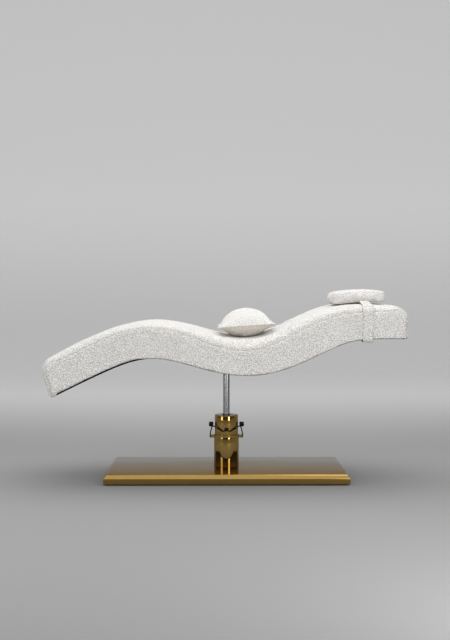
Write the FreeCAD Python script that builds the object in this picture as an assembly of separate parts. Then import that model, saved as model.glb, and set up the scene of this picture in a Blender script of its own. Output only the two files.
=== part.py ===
import FreeCAD, Part
import math
import os

# Massage lounger: a wave-shaped upholstered body on a hydraulic column with a
# weighted base plate, a strapped-on head cushion and a loose scatter pillow.
# Millimetres. X runs from the foot end (-) to the head end (+), Y from the
# front side (-) to the rear side (+), Z up from the floor. The origin is on
# the floor, on the column's axis.

# ---------------------------------------------------------------- dimensions
# Lounger body
HALF_LENGTH = 950.0
HALF_WIDTH = 340.0
UNDERSIDE = [(-960, 443), (-656, 591), (-396, 670), (-135, 618), (73, 581),
             (281, 606), (489, 692), (645, 756), (802, 772), (960, 773)]
THICKNESS = [(-960, 190), (-640, 200), (-396, 189), (-100, 191), (160, 197),
             (440, 205), (580, 201), (740, 184), (960, 171)]
STATION_STEP = 64.0
STATION_ENDS = (-960.0, 960.0)
FOOT_END_TOP = (-947.4, 612.0)
FOOT_END_LEAN = 16.5
FOOT_CORNER = 60.0
HEAD_CORNER = 50.0
SHOULDER = 40.0
SEAM_INSET = 44.0
COVER = 4.0
BOARD = 10.0
BOARD_STEP_X = -440.0

# Skeleton inside the body
RAIL_INNER_Y = 140.0
RAIL_WIDTH = 25.0
RAIL_HEIGHT = 52.0
RAIL_WALL = 2.5
RAIL_ENDS = (-820.0, 870.0)
CROSS_MEMBERS = {"foot": -700.0, "knee": -350.0, "back": 380.0, "head": 800.0}
CROSS_WIDTH = 40.0
CROSS_HEIGHT = 12.0
SADDLE_HALF_LENGTH = 130.0
SADDLE_PLATE = 8.0
SEAT_GAP = 0.3
SCREW_STATIONS = (-780.0, -480.0, -220.0, 220.0, 480.0, 840.0)
SCREW_HEAD_RADIUS = 5.0
SCREW_HEAD = 3.0
SCREW_RADIUS = 2.5
SCREW_LENGTH = 16.0

# Lift column
ROD_RADIUS = 18.0
RUNNING_GAP = 0.05
ROD_BOTTOM = 230.0
ROD_TOP = 630.0
PISTON_HEIGHT = 22.0
SEAL_BAND = (7.0, 15.0)
SEAL_DEPTH = 4.0
TUBE_OUTER = 45.0
TUBE_INNER = 40.0
TUBE_TOP = 334.0
BUSH_HEIGHT = 40.0
END_PLUG_HEIGHT = 20.0
SLEEVE_WALL = 2.0
LOWER_SLEEVE_RADIUS = 68.0
UPPER_SLEEVE_RADIUS = 64.0
SEAM_RING_RADIUS = 69.5
LOWER_SLEEVE_TOP = 220.0
SEAM_RING_TOP = 230.0
CAP_TOP = 340.0
CAP_CHAMFER = 1.5
SLEEVE_RING_HEIGHT = 12.0
UPPER_SLEEVE_RING_BOTTOM = 312.0
WIPER_RADIUS = 24.0
WIPER_GAP = 0.1

# Swivel head between the rod and the skeleton
HOUSING_RADIUS = 42.0
HOUSING_BORE = 26.0
HOUSING_BOTTOM = 604.0
HOUSING_CEILING = 637.0
HOUSING_FLANGE_RADIUS = 66.0
HOUSING_FLANGE = 8.0
HOUSING_BOLT_CIRCLE = 54.0
HOUSING_BOLT_RADIUS = 5.0
HOUSING_BOLT_LENGTH = 28.0
HOUSING_BOLT_HEAD_RADIUS = 8.5
SWIVEL_BUSH_HEIGHT = 12.0

# Base plate
BASE_LENGTH = 1300.0
BASE_DEPTH = 640.0
BASE_TOP = 57.0
BASE_EDGE_TOP = 36.0
BASE_GAP = 7.0
BASE_CHAMFER = 17.0
BASE_SHEET = 3.0
BALLAST_BOTTOM = 8.0
BALLAST_TOP = 28.0
FLANGE_RADIUS = 105.0
FLANGE_TOP = 40.0
FLANGE_BOLT_CIRCLE = 80.0
FOOT_RADIUS = 25.0
FOOT_REACH = (0.45, 0.42)
BASE_RAIL_HALF = 12.0
BASE_RAIL_REACH = 0.46
BASE_RAIL_PLACE = 0.31
BALLAST_CLEARANCE = 2.0
COLUMN_BOLT_RADIUS = 6.0
COLUMN_BOLT_BOTTOM = 14.0
COLUMN_BOLT_HEAD_RADIUS = 9.5
COLUMN_BOLT_HEAD = 8.0
BOLT_GAP = 0.1

# Spring bail that clips the upper sleeve down
WIRE_RADIUS = 2.5
BAIL_PIVOT_Z = 221.0
BAIL_EYE_X = 87.5
BAIL_PIN_RADIUS = 3.15
COIL_CENTRE = (80.0, -5.0, 287.0)
COIL_RADIUS = 8.5
ARM_RADIUS = 69.2
ARM_START = 18.0
ARM_END = 73.0
ARM_TOP_Z = 283.0
ARM_BOTTOM_Z = 253.5
LUG_CENTRE_Z = 268.0
LUG_HALF = (13.5, 5.5)
LUG_SHOULDER = 8.0
LUG_STANDS_OFF = 9.0
BRACKET_HALF = 8.0
BRACKET_DROP = 9.0
PIN_HEAD_RADIUS = 5.5

# Head cushion and its strap
CUSHION_X = (572.0, 852.0)
CUSHION_HALF_Y = 165.0
CUSHION_Z = (959.7, 1028.0)
CUSHION_CORNER = 42.0
CUSHION_EDGE = 24.0
CUSHION_UNDER_EDGE = 9.0
CUSHION_COVER = 3.0
STRAP_X = (708.0, 763.0)
STRAP = 4.0
STRAP_INNER_Y = 341.5
STRAP_INNER_Z = (762.0, 955.2)
STRAP_LOWER_CORNER = 6.0
PATCH_HALF = 45.0
PATCH_THICKNESS = 2.5

# Scatter pillow
PILLOW_CENTRE = (101.0, -50.0, 840.0)
PILLOW_HALF_X = 154.0
PILLOW_HALF_Y = 210.0
PILLOW_RISE = 88.0
PILLOW_DROP = 72.0
PILLOW_TILT = -4.0
PILLOW_COVER = 3.0
PILLOW_GAP = 0.6

BIG = 1500.0
COLUMN_SPACE = 100.0
UP = FreeCAD.Vector(0, 0, 1)


# ------------------------------------------------------------------- helpers
def save(name, shape):
    """Writes one named piece."""
    shape.exportStep("parts/" + name + ".step")


def point(x, y, z):
    return FreeCAD.Vector(x, y, z)


def cylinder(radius, low, high, x=0.0, y=0.0):
    return Part.makeCylinder(radius, high - low, point(x, y, low), UP)


def ring(outer, inner, low, high):
    return cylinder(outer, low, high).cut(cylinder(inner, low - 1, high + 1))


def block(x, y, z):
    """A box from three (low, high) pairs."""
    return Part.makeBox(x[1] - x[0], y[1] - y[0], z[1] - z[0], point(x[0], y[0], z[0]))


def natural_spline(points):
    """A smooth function through the points (natural cubic spline)."""
    xs = [float(p[0]) for p in points]
    zs = [float(p[1]) for p in points]
    last = len(xs) - 1
    gap = [xs[i + 1] - xs[i] for i in range(last)]
    slope = [(zs[i + 1] - zs[i]) / gap[i] for i in range(last)]
    upper = [0.0] * (last + 1)
    load = [0.0] * (last + 1)
    for i in range(1, last):
        pivot = 2 * (gap[i - 1] + gap[i]) - gap[i - 1] * upper[i - 1]
        upper[i] = gap[i] / pivot
        load[i] = (6 * (slope[i] - slope[i - 1]) - gap[i - 1] * load[i - 1]) / pivot
    bend = [0.0] * (last + 1)
    for i in range(last - 1, 0, -1):
        bend[i] = load[i] - upper[i] * bend[i + 1]

    def height(x):
        i = max(0, min(last - 1, sum(1 for value in xs if value < x) - 1))
        a = (xs[i + 1] - x) / gap[i]
        b = (x - xs[i]) / gap[i]
        curve = (a ** 3 - a) * bend[i] + (b ** 3 - b) * bend[i + 1]
        return a * zs[i] + b * zs[i + 1] + curve * gap[i] ** 2 / 6

    return height


underside = natural_spline(UNDERSIDE)
thickness = natural_spline(THICKNESS)


def normal_at(x):
    """The underside's unit normal at x, pointing into the body, as (x, z)."""
    rise = underside(x + 1) - underside(x - 1)
    length = math.hypot(2, rise)
    return -rise / length, 2 / length


def above(x, rise, y=0.0):
    """The point at a distance from the underside, square to it."""
    nx, nz = normal_at(x)
    return point(x + nx * rise, y, underside(x) + nz * rise)


def offset_edge(rise, start, end, y):
    """A smooth edge along the body at a distance rise(x) from its underside."""
    count = max(3, int(round((end - start) / STATION_STEP)) + 1)
    stations = [start + (end - start) * i / (count - 1) for i in range(count)]
    curve = Part.BSplineCurve()
    curve.interpolate([above(x, rise(x), y) for x in stations])
    return curve.toShape()


def strip(low, high, start, end, y):
    """The solid between two distances from the underside, from station to station."""
    bottom = offset_edge(low, start, end, y[0])
    top = offset_edge(high, start, end, y[0])
    foot = Part.makeLine(bottom.Vertexes[0].Point, top.Vertexes[0].Point)
    head = Part.makeLine(bottom.Vertexes[-1].Point, top.Vertexes[-1].Point)
    wire = Part.Wire(Part.__sortEdges__([bottom, head, top, foot]))
    return Part.Face(wire).extrude(point(0, y[1] - y[0], 0))


def level(value):
    return lambda x: value


def end_limits(inset):
    """The space between the leaning foot end and the upright head end."""
    lean = math.radians(FOOT_END_LEAN)
    x = FOOT_END_TOP[0] + inset / math.cos(lean)
    reach = 600.0
    high = point(x - reach * math.tan(lean), -BIG, FOOT_END_TOP[1] + reach)
    low = point(x + reach * math.tan(lean), -BIG, FOOT_END_TOP[1] - reach)
    head = HALF_LENGTH - inset
    corners = [high, low, point(head, -BIG, low.z), point(head, -BIG, high.z), high]
    return Part.Face(Part.makePolygon(corners)).extrude(point(0, 2 * BIG, 0))


def full_length(low, high, inset, y):
    """A strip over the body's whole length, cut to its two ends."""
    return strip(low, high, STATION_ENDS[0], STATION_ENDS[1], y).common(end_limits(inset)).Solids[0]


def crosswise_corners(solid, radius_foot, radius_head):
    """Rounds the two upper edges that run across the body."""
    for sign, radius in ((-1, radius_foot), (1, radius_head)):
        edges = []
        for edge in solid.Edges:
            box = edge.BoundBox
            if box.XLength < 0.1 and box.ZLength < 0.1:
                x, z = box.Center.x, box.Center.z
                if x * sign > HALF_LENGTH / 2 and z > underside(x) + 60:
                    edges.append(edge)
        solid = solid.makeFillet(radius, edges)
    return solid


def round_shoulders(solid, radius):
    """Rounds the long upper edges of the front and rear sides."""
    edges = []
    for edge in solid.Edges:
        box = edge.BoundBox
        if box.YLength < 0.1 and box.XLength > HALF_LENGTH:
            middle = edge.valueAt((edge.FirstParameter + edge.LastParameter) / 2)
            if middle.z > underside(middle.x) + 60:
                edges.append(edge)
    return solid.makeFillet(radius, edges)


def body_solid(rise, inset, half_width, shoulder):
    """The body's padded form above a distance from its underside."""
    solid = full_length(level(rise), lambda x: thickness(x) - inset, inset,
                        (-half_width, half_width))
    solid = crosswise_corners(solid, FOOT_CORNER - inset, HEAD_CORNER - inset)
    return round_shoulders(solid, shoulder)


def both_sides(make):
    """Makes a piece on the left (-X) and on the right (+X)."""
    return {"left": make(-1), "right": make(1)}


def wire_through(points, radius):
    """A round wire with a ball at each bend."""
    solids = []
    for first, second in zip(points, points[1:]):
        run = second.sub(first)
        solids.append(Part.makeCylinder(radius, run.Length, first, run))
    solids += [Part.makeSphere(radius, bend) for bend in points[1:-1]]
    wire = solids[0]
    for solid in solids[1:]:
        wire = wire.fuse(solid)
    return wire


# ------------------------------------------------------------ base and column
def base_shape(inset, bottom):
    """The base plate's outer form, with its bevelled rim, at an inset."""
    sizes = [(BASE_LENGTH / 2 - inset, BASE_DEPTH / 2 - inset, BASE_EDGE_TOP - inset / 2)]
    shrink = BASE_CHAMFER + inset
    sizes.append((BASE_LENGTH / 2 - shrink, BASE_DEPTH / 2 - shrink, BASE_TOP - inset))
    outlines = []
    for x, y, z in sizes:
        corners = [point(-x, -y, z), point(x, -y, z), point(x, y, z), point(-x, y, z)]
        outlines.append(Part.makePolygon(corners + corners[:1]))
    x, y, z = sizes[0]
    rim = block((-x, x), (-y, y), (bottom, z))
    return rim.fuse(Part.makeLoft(outlines, True, True)).removeSplitter()


def round_positions(count, radius, turn=0.0):
    angles = [math.radians(turn + 360.0 * i / count) for i in range(count)]
    return [(radius * math.cos(a), radius * math.sin(a)) for a in angles]


def make_base():
    shell = base_shape(0.0, BASE_GAP).cut(base_shape(BASE_SHEET, 0.0))
    save("base_cladding", shell.cut(cylinder(TUBE_OUTER + 0.5, 0, BASE_TOP + 1)))

    x = BASE_LENGTH / 2 - BASE_SHEET - BALLAST_CLEARANCE
    y = BASE_DEPTH / 2 - BASE_SHEET - BALLAST_CLEARANCE
    ballast = block((-x, x), (-y, y), (BALLAST_BOTTOM, BALLAST_TOP))
    bolts = []
    hole_radius = COLUMN_BOLT_RADIUS + BOLT_GAP
    for bx, by in round_positions(6, FLANGE_BOLT_CIRCLE, 30):
        ballast = ballast.cut(cylinder(hole_radius, COLUMN_BOLT_BOTTOM - 1, BALLAST_TOP + 1, bx, by))
        shank = cylinder(COLUMN_BOLT_RADIUS, COLUMN_BOLT_BOTTOM, FLANGE_TOP, bx, by)
        head_top = FLANGE_TOP + COLUMN_BOLT_HEAD
        bolts.append(shank.fuse(cylinder(COLUMN_BOLT_HEAD_RADIUS, FLANGE_TOP, head_top, bx, by)))
    save("base_ballast", ballast)
    save("column_bolts", Part.makeCompound(bolts))

    reach = BASE_LENGTH * BASE_RAIL_REACH
    for name, side in (("front", -1), ("rear", 1)):
        middle = side * BASE_DEPTH * BASE_RAIL_PLACE
        rail = block((-reach, reach), (middle - BASE_RAIL_HALF, middle + BASE_RAIL_HALF),
                     (BALLAST_TOP, BASE_TOP - BASE_SHEET))
        save("base_rail_" + name, rail)

    pads = []
    foot_x = BASE_LENGTH * FOOT_REACH[0]
    foot_y = BASE_DEPTH * FOOT_REACH[1]
    for px in (-foot_x, 0.0, foot_x):
        for py in (-foot_y, foot_y):
            pads.append(cylinder(FOOT_RADIUS, 0, BALLAST_BOTTOM, px, py))
    save("foot_pads", Part.makeCompound(pads))


def make_column():
    save("column_tube", ring(TUBE_OUTER, TUBE_INNER, BALLAST_TOP, TUBE_TOP))
    flange = ring(FLANGE_RADIUS, TUBE_OUTER, BALLAST_TOP, FLANGE_TOP)
    for bx, by in round_positions(6, FLANGE_BOLT_CIRCLE, 30):
        hole = cylinder(COLUMN_BOLT_RADIUS + BOLT_GAP, BALLAST_TOP - 1, FLANGE_TOP + 1, bx, by)
        flange = flange.cut(hole)
    save("column_flange", flange)
    save("column_end_plug", cylinder(TUBE_INNER, BALLAST_TOP, BALLAST_TOP + END_PLUG_HEIGHT))
    save("guide_bush", ring(TUBE_INNER, ROD_RADIUS + RUNNING_GAP, TUBE_TOP - BUSH_HEIGHT, TUBE_TOP))

    lower_inner = LOWER_SLEEVE_RADIUS - SLEEVE_WALL
    upper_inner = UPPER_SLEEVE_RADIUS - SLEEVE_WALL
    save("sleeve_ring_lower", ring(lower_inner, TUBE_OUTER, BASE_TOP, BASE_TOP + SLEEVE_RING_HEIGHT))
    save("sleeve_ring_upper", ring(upper_inner, TUBE_OUTER, UPPER_SLEEVE_RING_BOTTOM,
                                   UPPER_SLEEVE_RING_BOTTOM + SLEEVE_RING_HEIGHT))
    save("lower_sleeve", ring(LOWER_SLEEVE_RADIUS, lower_inner, BASE_TOP, LOWER_SLEEVE_TOP))
    save("seam_ring", ring(SEAM_RING_RADIUS, upper_inner, LOWER_SLEEVE_TOP, SEAM_RING_TOP))
    save("upper_sleeve", ring(UPPER_SLEEVE_RADIUS, upper_inner, SEAM_RING_TOP, TUBE_TOP))
    cap = ring(UPPER_SLEEVE_RADIUS, WIPER_RADIUS, TUBE_TOP, CAP_TOP)
    rim = [edge for edge in cap.Edges
           if edge.BoundBox.ZMin > CAP_TOP - 0.1 and edge.BoundBox.XMax > UPPER_SLEEVE_RADIUS - 1]
    save("sleeve_cap", cap.makeChamfer(CAP_CHAMFER, rim))
    save("rod_wiper", ring(WIPER_RADIUS, ROD_RADIUS + WIPER_GAP, TUBE_TOP, CAP_TOP + 2))


def make_lift():
    save("lift_rod", cylinder(ROD_RADIUS, ROD_BOTTOM, ROD_TOP))
    seal_low = ROD_BOTTOM + SEAL_BAND[0]
    seal_high = ROD_BOTTOM + SEAL_BAND[1]
    groove = ring(TUBE_INNER, TUBE_INNER - SEAL_DEPTH, seal_low, seal_high)
    piston = ring(TUBE_INNER - 0.5, ROD_RADIUS, ROD_BOTTOM, ROD_BOTTOM + PISTON_HEIGHT)
    save("piston", piston.cut(groove))
    save("piston_seal", ring(TUBE_INNER - RUNNING_GAP, TUBE_INNER - SEAL_DEPTH, seal_low, seal_high))


# ------------------------------------------------------------------ spring bail
def make_bail():
    outside_ring = ring(LOWER_SLEEVE_RADIUS + 30, SEAM_RING_RADIUS, BAIL_PIVOT_Z - BRACKET_DROP,
                        SEAM_RING_TOP)

    def bracket(side):
        x = sorted((side * 60, side * (BAIL_EYE_X - 4)))
        tab = block(x, (-BRACKET_HALF, BRACKET_HALF), (BAIL_PIVOT_Z - BRACKET_DROP, SEAM_RING_TOP))
        return tab.common(outside_ring).cut(pin(side))

    def pin(side):
        start = point(side * (SEAM_RING_RADIUS + 3), 0, BAIL_PIVOT_Z)
        along = point(side, 0, 0)
        shank = Part.makeCylinder(BAIL_PIN_RADIUS, BAIL_EYE_X + 6 - abs(start.x), start, along)
        head_start = point(side * (BAIL_EYE_X + 4), 0, BAIL_PIVOT_Z)
        return shank.fuse(Part.makeCylinder(PIN_HEAD_RADIUS, 2, head_start, along))

    for name, shape in both_sides(bracket).items():
        save("bail_bracket_" + name, shape)
    for name, shape in both_sides(pin).items():
        save("bail_pin_" + name, shape)

    x, z = LUG_HALF
    outline = [(-x, 0), (-LUG_SHOULDER, z), (LUG_SHOULDER, z), (x, 0), (LUG_SHOULDER, -z),
               (-LUG_SHOULDER, -z), (-x, 0)]
    y = -UPPER_SLEEVE_RADIUS - LUG_STANDS_OFF
    corners = [point(x, y, LUG_CENTRE_Z + z) for x, z in outline]
    lug = Part.Face(Part.makePolygon(corners)).extrude(point(0, 20, 0))
    save("latch_lug", lug.cut(cylinder(UPPER_SLEEVE_RADIUS, SEAM_RING_TOP, CAP_TOP)))

    def half(side):
        eye_radius = BAIL_PIN_RADIUS + RUNNING_GAP + WIRE_RADIUS
        eye_at = point(side * BAIL_EYE_X, 0, BAIL_PIVOT_Z)
        eye = Part.makeTorus(eye_radius, WIRE_RADIUS, eye_at, point(1, 0, 0))
        coil_at = point(side * COIL_CENTRE[0], COIL_CENTRE[1], COIL_CENTRE[2])
        coil = Part.makeTorus(COIL_RADIUS, WIRE_RADIUS, coil_at, point(0, 1, 0))
        outer_foot = coil_at.add(point(side * COIL_RADIUS * 0.707, 0, -COIL_RADIUS * 0.707))
        inner_foot = coil_at.add(point(-side * COIL_RADIUS * 0.707, 0, -COIL_RADIUS * 0.707))
        leg = [eye_at.add(point(0, 0, eye_radius)), outer_foot]
        arm = [inner_foot]
        for i in range(5):
            turn = math.radians(ARM_START + (ARM_END - ARM_START) * i / 4)
            z = ARM_TOP_Z + (ARM_BOTTOM_Z - ARM_TOP_Z) * i / 4
            arm.append(point(side * ARM_RADIUS * math.cos(turn), -ARM_RADIUS * math.sin(turn), z))
        arm.append(point(side * 9, -ARM_RADIUS - 1.5, ARM_BOTTOM_Z + 4))
        arm.append(point(0, -ARM_RADIUS - 2, ARM_BOTTOM_Z + 4.5))
        return [wire_through(arm, WIRE_RADIUS), coil, wire_through(leg, WIRE_RADIUS), eye]

    wire = Part.makeSphere(WIRE_RADIUS, point(0, -ARM_RADIUS - 2, ARM_BOTTOM_Z + 4.5))
    for piece in half(-1) + half(1):
        wire = wire.fuse(piece)
    save("bail_wire", wire)


# ------------------------------------------------------------- lounger skeleton
def make_skeleton():
    rail_top = BOARD + RAIL_HEIGHT
    saddle_bottom = rail_top - SADDLE_PLATE

    rails = {}
    for name, side in (("front", -1), ("rear", 1)):
        y = sorted((side * RAIL_INNER_Y, side * (RAIL_INNER_Y + RAIL_WIDTH)))
        outer = strip(level(BOARD + SEAT_GAP), level(rail_top), RAIL_ENDS[0], RAIL_ENDS[1], y)
        inner = strip(level(BOARD + RAIL_WALL), level(rail_top - RAIL_WALL), RAIL_ENDS[0] - 5,
                      RAIL_ENDS[1] + 5, (y[0] + RAIL_WALL, y[1] - RAIL_WALL))
        rails[name] = outer.cut(inner)

    screws = []
    for x in SCREW_STATIONS:
        for side in (-1, 1):
            y = side * (RAIL_INNER_Y + RAIL_WIDTH / 2)
            inward = above(x, 1).sub(above(x, 0))
            head = Part.makeCylinder(SCREW_HEAD_RADIUS, SCREW_HEAD, above(x, 1, y), inward)
            shank = Part.makeCylinder(SCREW_RADIUS, SCREW_LENGTH, above(x, SCREW_HEAD, y), inward)
            screws.append(head.fuse(shank))
    screw_group = Part.makeCompound(screws)
    for name, rail in rails.items():
        save("spine_rail_" + name, rail.cut(screw_group))
    save("board_screws", screw_group)

    board = full_length(level(0), level(BOARD), COVER, (COVER - HALF_WIDTH, HALF_WIDTH - COVER))
    rod_hole = cylinder(ROD_RADIUS + 3, ROD_TOP - 100, ROD_TOP)
    housing_hole = cylinder(HOUSING_RADIUS + 1, HOUSING_BOTTOM - 8, ROD_TOP)
    upright = [edge for edge in board.Edges if edge.Length < 1.5 * BOARD]
    board = board.makeFillet(SHOULDER - COVER, upright)
    board = board.cut(rod_hole).cut(housing_hole.common(board_space(4)))
    save("underside_board", board.cut(screw_group))

    for name, x in CROSS_MEMBERS.items():
        half = CROSS_WIDTH / 2
        bar = strip(level(BOARD + SEAT_GAP), level(BOARD + CROSS_HEIGHT), x - half, x + half,
                    (-RAIL_INNER_Y, RAIL_INNER_Y))
        save("cross_member_" + name, bar)

    saddle = strip(level(saddle_bottom), level(rail_top), -SADDLE_HALF_LENGTH,
                   SADDLE_HALF_LENGTH, (-RAIL_INNER_Y, RAIL_INNER_Y))
    flange_top = saddle_bottom - SEAT_GAP
    under_saddle = strip(level(BOARD), level(flange_top), -SADDLE_HALF_LENGTH,
                         SADDLE_HALF_LENGTH, (-RAIL_INNER_Y, RAIL_INNER_Y))
    bolts = []
    holes = []
    for x, y in round_positions(4, HOUSING_BOLT_CIRCLE, 45):
        low = above(x, saddle_bottom).z - HOUSING_FLANGE - 8
        shank = cylinder(HOUSING_BOLT_RADIUS, low, low + HOUSING_BOLT_LENGTH, x, y)
        head = cylinder(HOUSING_BOLT_HEAD_RADIUS, low - 4, low + 2, x, y)
        bolts.append(shank.fuse(head))
        bore = cylinder(HOUSING_BOLT_RADIUS + 2 * BOLT_GAP, low + 2, low + 40, x, y)
        seat = cylinder(HOUSING_BOLT_HEAD_RADIUS + 0.5, low - 10, low + 2.2, x, y)
        holes.append(bore.fuse(seat))
    body = cylinder(HOUSING_RADIUS, HOUSING_BOTTOM, ROD_TOP + 20).common(under_saddle)
    flange = strip(level(flange_top - HOUSING_FLANGE), level(flange_top), -COLUMN_SPACE, COLUMN_SPACE,
                   (-RAIL_INNER_Y, RAIL_INNER_Y))
    flange = flange.common(cylinder(HOUSING_FLANGE_RADIUS, HOUSING_BOTTOM - 50, ROD_TOP + 70))
    housing = body.fuse(flange).cut(cylinder(HOUSING_BORE, HOUSING_BOTTOM - 1, HOUSING_CEILING))
    for hole in holes:
        housing = housing.cut(hole)
        saddle = saddle.cut(hole)
    save("saddle_plate", saddle)
    save("swivel_housing", housing)
    save("housing_bolts", Part.makeCompound(bolts))

    bush_inner = ROD_RADIUS + RUNNING_GAP
    save("swivel_bush_lower", ring(HOUSING_BORE, bush_inner, HOUSING_BOTTOM,
                                   HOUSING_BOTTOM + SWIVEL_BUSH_HEIGHT))
    save("swivel_bush_upper", ring(HOUSING_BORE, bush_inner, ROD_TOP - SWIVEL_BUSH_HEIGHT, ROD_TOP))
    save("thrust_pad", cylinder(HOUSING_BORE, ROD_TOP + RUNNING_GAP, HOUSING_CEILING))


def foam_cavities():
    """The spaces that the foam leaves for the skeleton, a little larger than its pieces."""
    low = level(BOARD - 2)
    rail_top = BOARD + RAIL_HEIGHT
    reach = RAIL_INNER_Y + RAIL_WIDTH / 2
    cavities = [strip(low, level(rail_top + 4), -SADDLE_HALF_LENGTH - 2, SADDLE_HALF_LENGTH + 2,
                      (-reach, reach))]
    for x, y in round_positions(4, HOUSING_BOLT_CIRCLE, 45):
        cavities.append(cylinder(6, ROD_TOP, ROD_TOP + 40, x, y))
    for side in (-1, 1):
        y = sorted((side * (RAIL_INNER_Y - 1), side * (RAIL_INNER_Y + RAIL_WIDTH + 1)))
        cavities.append(strip(low, level(rail_top + 1), RAIL_ENDS[0] - 1, RAIL_ENDS[1] + 1, y))
    half = CROSS_WIDTH / 2 + 1
    for x in CROSS_MEMBERS.values():
        cavities.append(strip(low, level(BOARD + CROSS_HEIGHT + 1), x - half, x + half, (-reach, reach)))
    return cavities


def board_space(rise):
    """The slab of the board above a distance from the underside, near the column."""
    return strip(level(rise), level(BOARD + 5), -COLUMN_SPACE, COLUMN_SPACE,
                 (-COLUMN_SPACE, COLUMN_SPACE))


# ------------------------------------------------------------------- upholstery
def make_upholstery():
    envelope = body_solid(0.0, 0.0, HALF_WIDTH, SHOULDER)
    foam = body_solid(BOARD, COVER, HALF_WIDTH - COVER, SHOULDER - COVER)
    below_foam = full_length(level(-5), level(BOARD), -10.0, (-BIG, BIG))

    top = envelope.cut(foam).cut(below_foam)
    foot_step = strip(level(-5), level(BOARD), STATION_ENDS[0] - 20, BOARD_STEP_X, (-BIG, BIG))
    for name, side in (("front", -1), ("rear", 1)):
        y = sorted((side * (HALF_WIDTH - COVER), side * HALF_WIDTH))
        panel = full_length(level(0.0), lambda x: thickness(x) - SEAM_INSET, SEAM_INSET, y)
        panel = crosswise_corners(panel, FOOT_CORNER - SEAM_INSET, HEAD_CORNER - SEAM_INSET)
        top = top.cut(panel)
        save("cover_side_" + name, panel.cut(foot_step))
    save("cover_top", max(top.Solids, key=lambda solid: solid.Volume))

    for cavity in foam_cavities():
        foam = foam.cut(cavity)
    save("foam_core", max(foam.Solids, key=lambda solid: solid.Volume))
    return envelope


# ------------------------------------------------------- head cushion and strap
def cushion_form(inset):
    """The head cushion's rounded form at an inset."""
    x = (CUSHION_X[0] + inset, CUSHION_X[1] - inset)
    y = (inset - CUSHION_HALF_Y, CUSHION_HALF_Y - inset)
    z = (CUSHION_Z[0] + inset, CUSHION_Z[1] - inset)
    solid = block(x, y, z)
    upright = [edge for edge in solid.Edges if edge.BoundBox.ZLength > 1]
    solid = solid.makeFillet(CUSHION_CORNER - inset, upright)
    top = [edge for edge in solid.Edges if edge.BoundBox.ZMin > z[1] - 0.1]
    solid = solid.makeFillet(CUSHION_EDGE - inset, top)
    bottom = [edge for edge in solid.Edges if edge.BoundBox.ZMax < z[0] + 0.1]
    return solid.makeFillet(CUSHION_UNDER_EDGE - inset, bottom)


def make_cushion():
    foam = cushion_form(CUSHION_COVER)
    save("face_cushion_foam", foam)
    skin = cushion_form(0.0).cut(foam)
    seams = [CUSHION_Z[0] - 1, CUSHION_Z[0] + CUSHION_UNDER_EDGE,
             CUSHION_Z[1] - CUSHION_EDGE, CUSHION_Z[1] + 1]
    for name, low, high in zip(("bottom", "border", "top"), seams, seams[1:]):
        piece = skin.common(block((-BIG, BIG), (-BIG, BIG), (low, high)))
        save("face_cushion_cover_" + name, piece.Solids[0])


def strap_loop(grow, x):
    """The strap's closed loop outline, grown outward, as a solid."""
    half = STRAP_INNER_Y + grow
    solid = block(x, (-half, half), (STRAP_INNER_Z[0] - grow, STRAP_INNER_Z[1] + grow))
    along = [edge for edge in solid.Edges if edge.BoundBox.XLength > 1]
    upper = [edge for edge in along if edge.BoundBox.ZMin > 900]
    lower = [edge for edge in along if edge.BoundBox.ZMin < 900]
    solid = solid.makeFillet(SHOULDER - 2 + grow, upper)
    return solid.makeFillet(STRAP_LOWER_CORNER + grow, lower)


def make_strap():
    inner = (STRAP_X[0] - 5, STRAP_X[1] + 5)
    loop = strap_loop(STRAP, STRAP_X).cut(strap_loop(0.0, inner))
    patch_height = STRAP_INNER_Z[0] - STRAP
    save("head_strap_front", loop.common(block((-BIG, BIG), (-BIG, 0), (0, BIG))).Solids[0])
    save("head_strap_rear", loop.common(block((-BIG, BIG), (0, BIG), (0, BIG))).Solids[0])
    patch_z = (patch_height - PATCH_THICKNESS, patch_height)
    save("strap_hook_patch", block(STRAP_X, (-PATCH_HALF, PATCH_HALF), patch_z))


# --------------------------------------------------------------- scatter pillow
def pillow_form(inset):
    """The pillow's lens form at an inset, before it settles on the body."""
    half = PILLOW_HALF_X - inset * 2.2
    top = point(0, 0, PILLOW_RISE - inset)
    bottom = point(0, 0, inset - PILLOW_DROP)
    rim = point(half, 0, 0)
    upper = Part.Arc(top, point(half * 0.62, 0, top.z * 0.70), rim).toShape()
    lower = Part.Arc(rim, point(half * 0.62, 0, bottom.z * 0.70), bottom).toShape()
    axis = Part.makeLine(bottom, top)
    lens = Part.Face(Part.Wire([upper, lower, axis])).revolve(point(0, 0, 0), UP, 360)
    stretch = FreeCAD.Matrix()
    stretch.scale(1.0, PILLOW_HALF_Y / PILLOW_HALF_X, 1.0)
    lens = lens.transformGeometry(stretch)
    lens.rotate(point(0, 0, 0), point(0, 1, 0), PILLOW_TILT)
    lens.translate(point(*PILLOW_CENTRE))
    return lens


def make_pillow(envelope):
    rest = envelope.copy()
    rest.translate(point(0, 0, PILLOW_GAP))
    raised_rest = envelope.copy()
    raised_rest.translate(point(0, 0, PILLOW_GAP + PILLOW_COVER))
    fill = pillow_form(PILLOW_COVER).cut(raised_rest)
    save("pillow_fill", fill.Solids[0])
    skin = pillow_form(0.0).cut(rest).cut(fill)
    above_rim = block((-BIG, BIG), (-BIG, BIG), (0, BIG))
    above_rim.rotate(point(0, 0, 0), point(0, 1, 0), PILLOW_TILT)
    above_rim.translate(point(*PILLOW_CENTRE))
    save("pillow_cover_top", skin.common(above_rim).Solids[0])
    save("pillow_cover_bottom", skin.cut(above_rim).Solids[0])


os.makedirs("parts", exist_ok=True)
make_base()
make_column()
make_lift()
make_bail()
make_skeleton()
body_envelope = make_upholstery()
make_cushion()
make_strap()
make_pillow(body_envelope)
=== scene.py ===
import math

import bmesh
import bpy
import numpy as np
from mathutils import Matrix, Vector, noise


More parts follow.
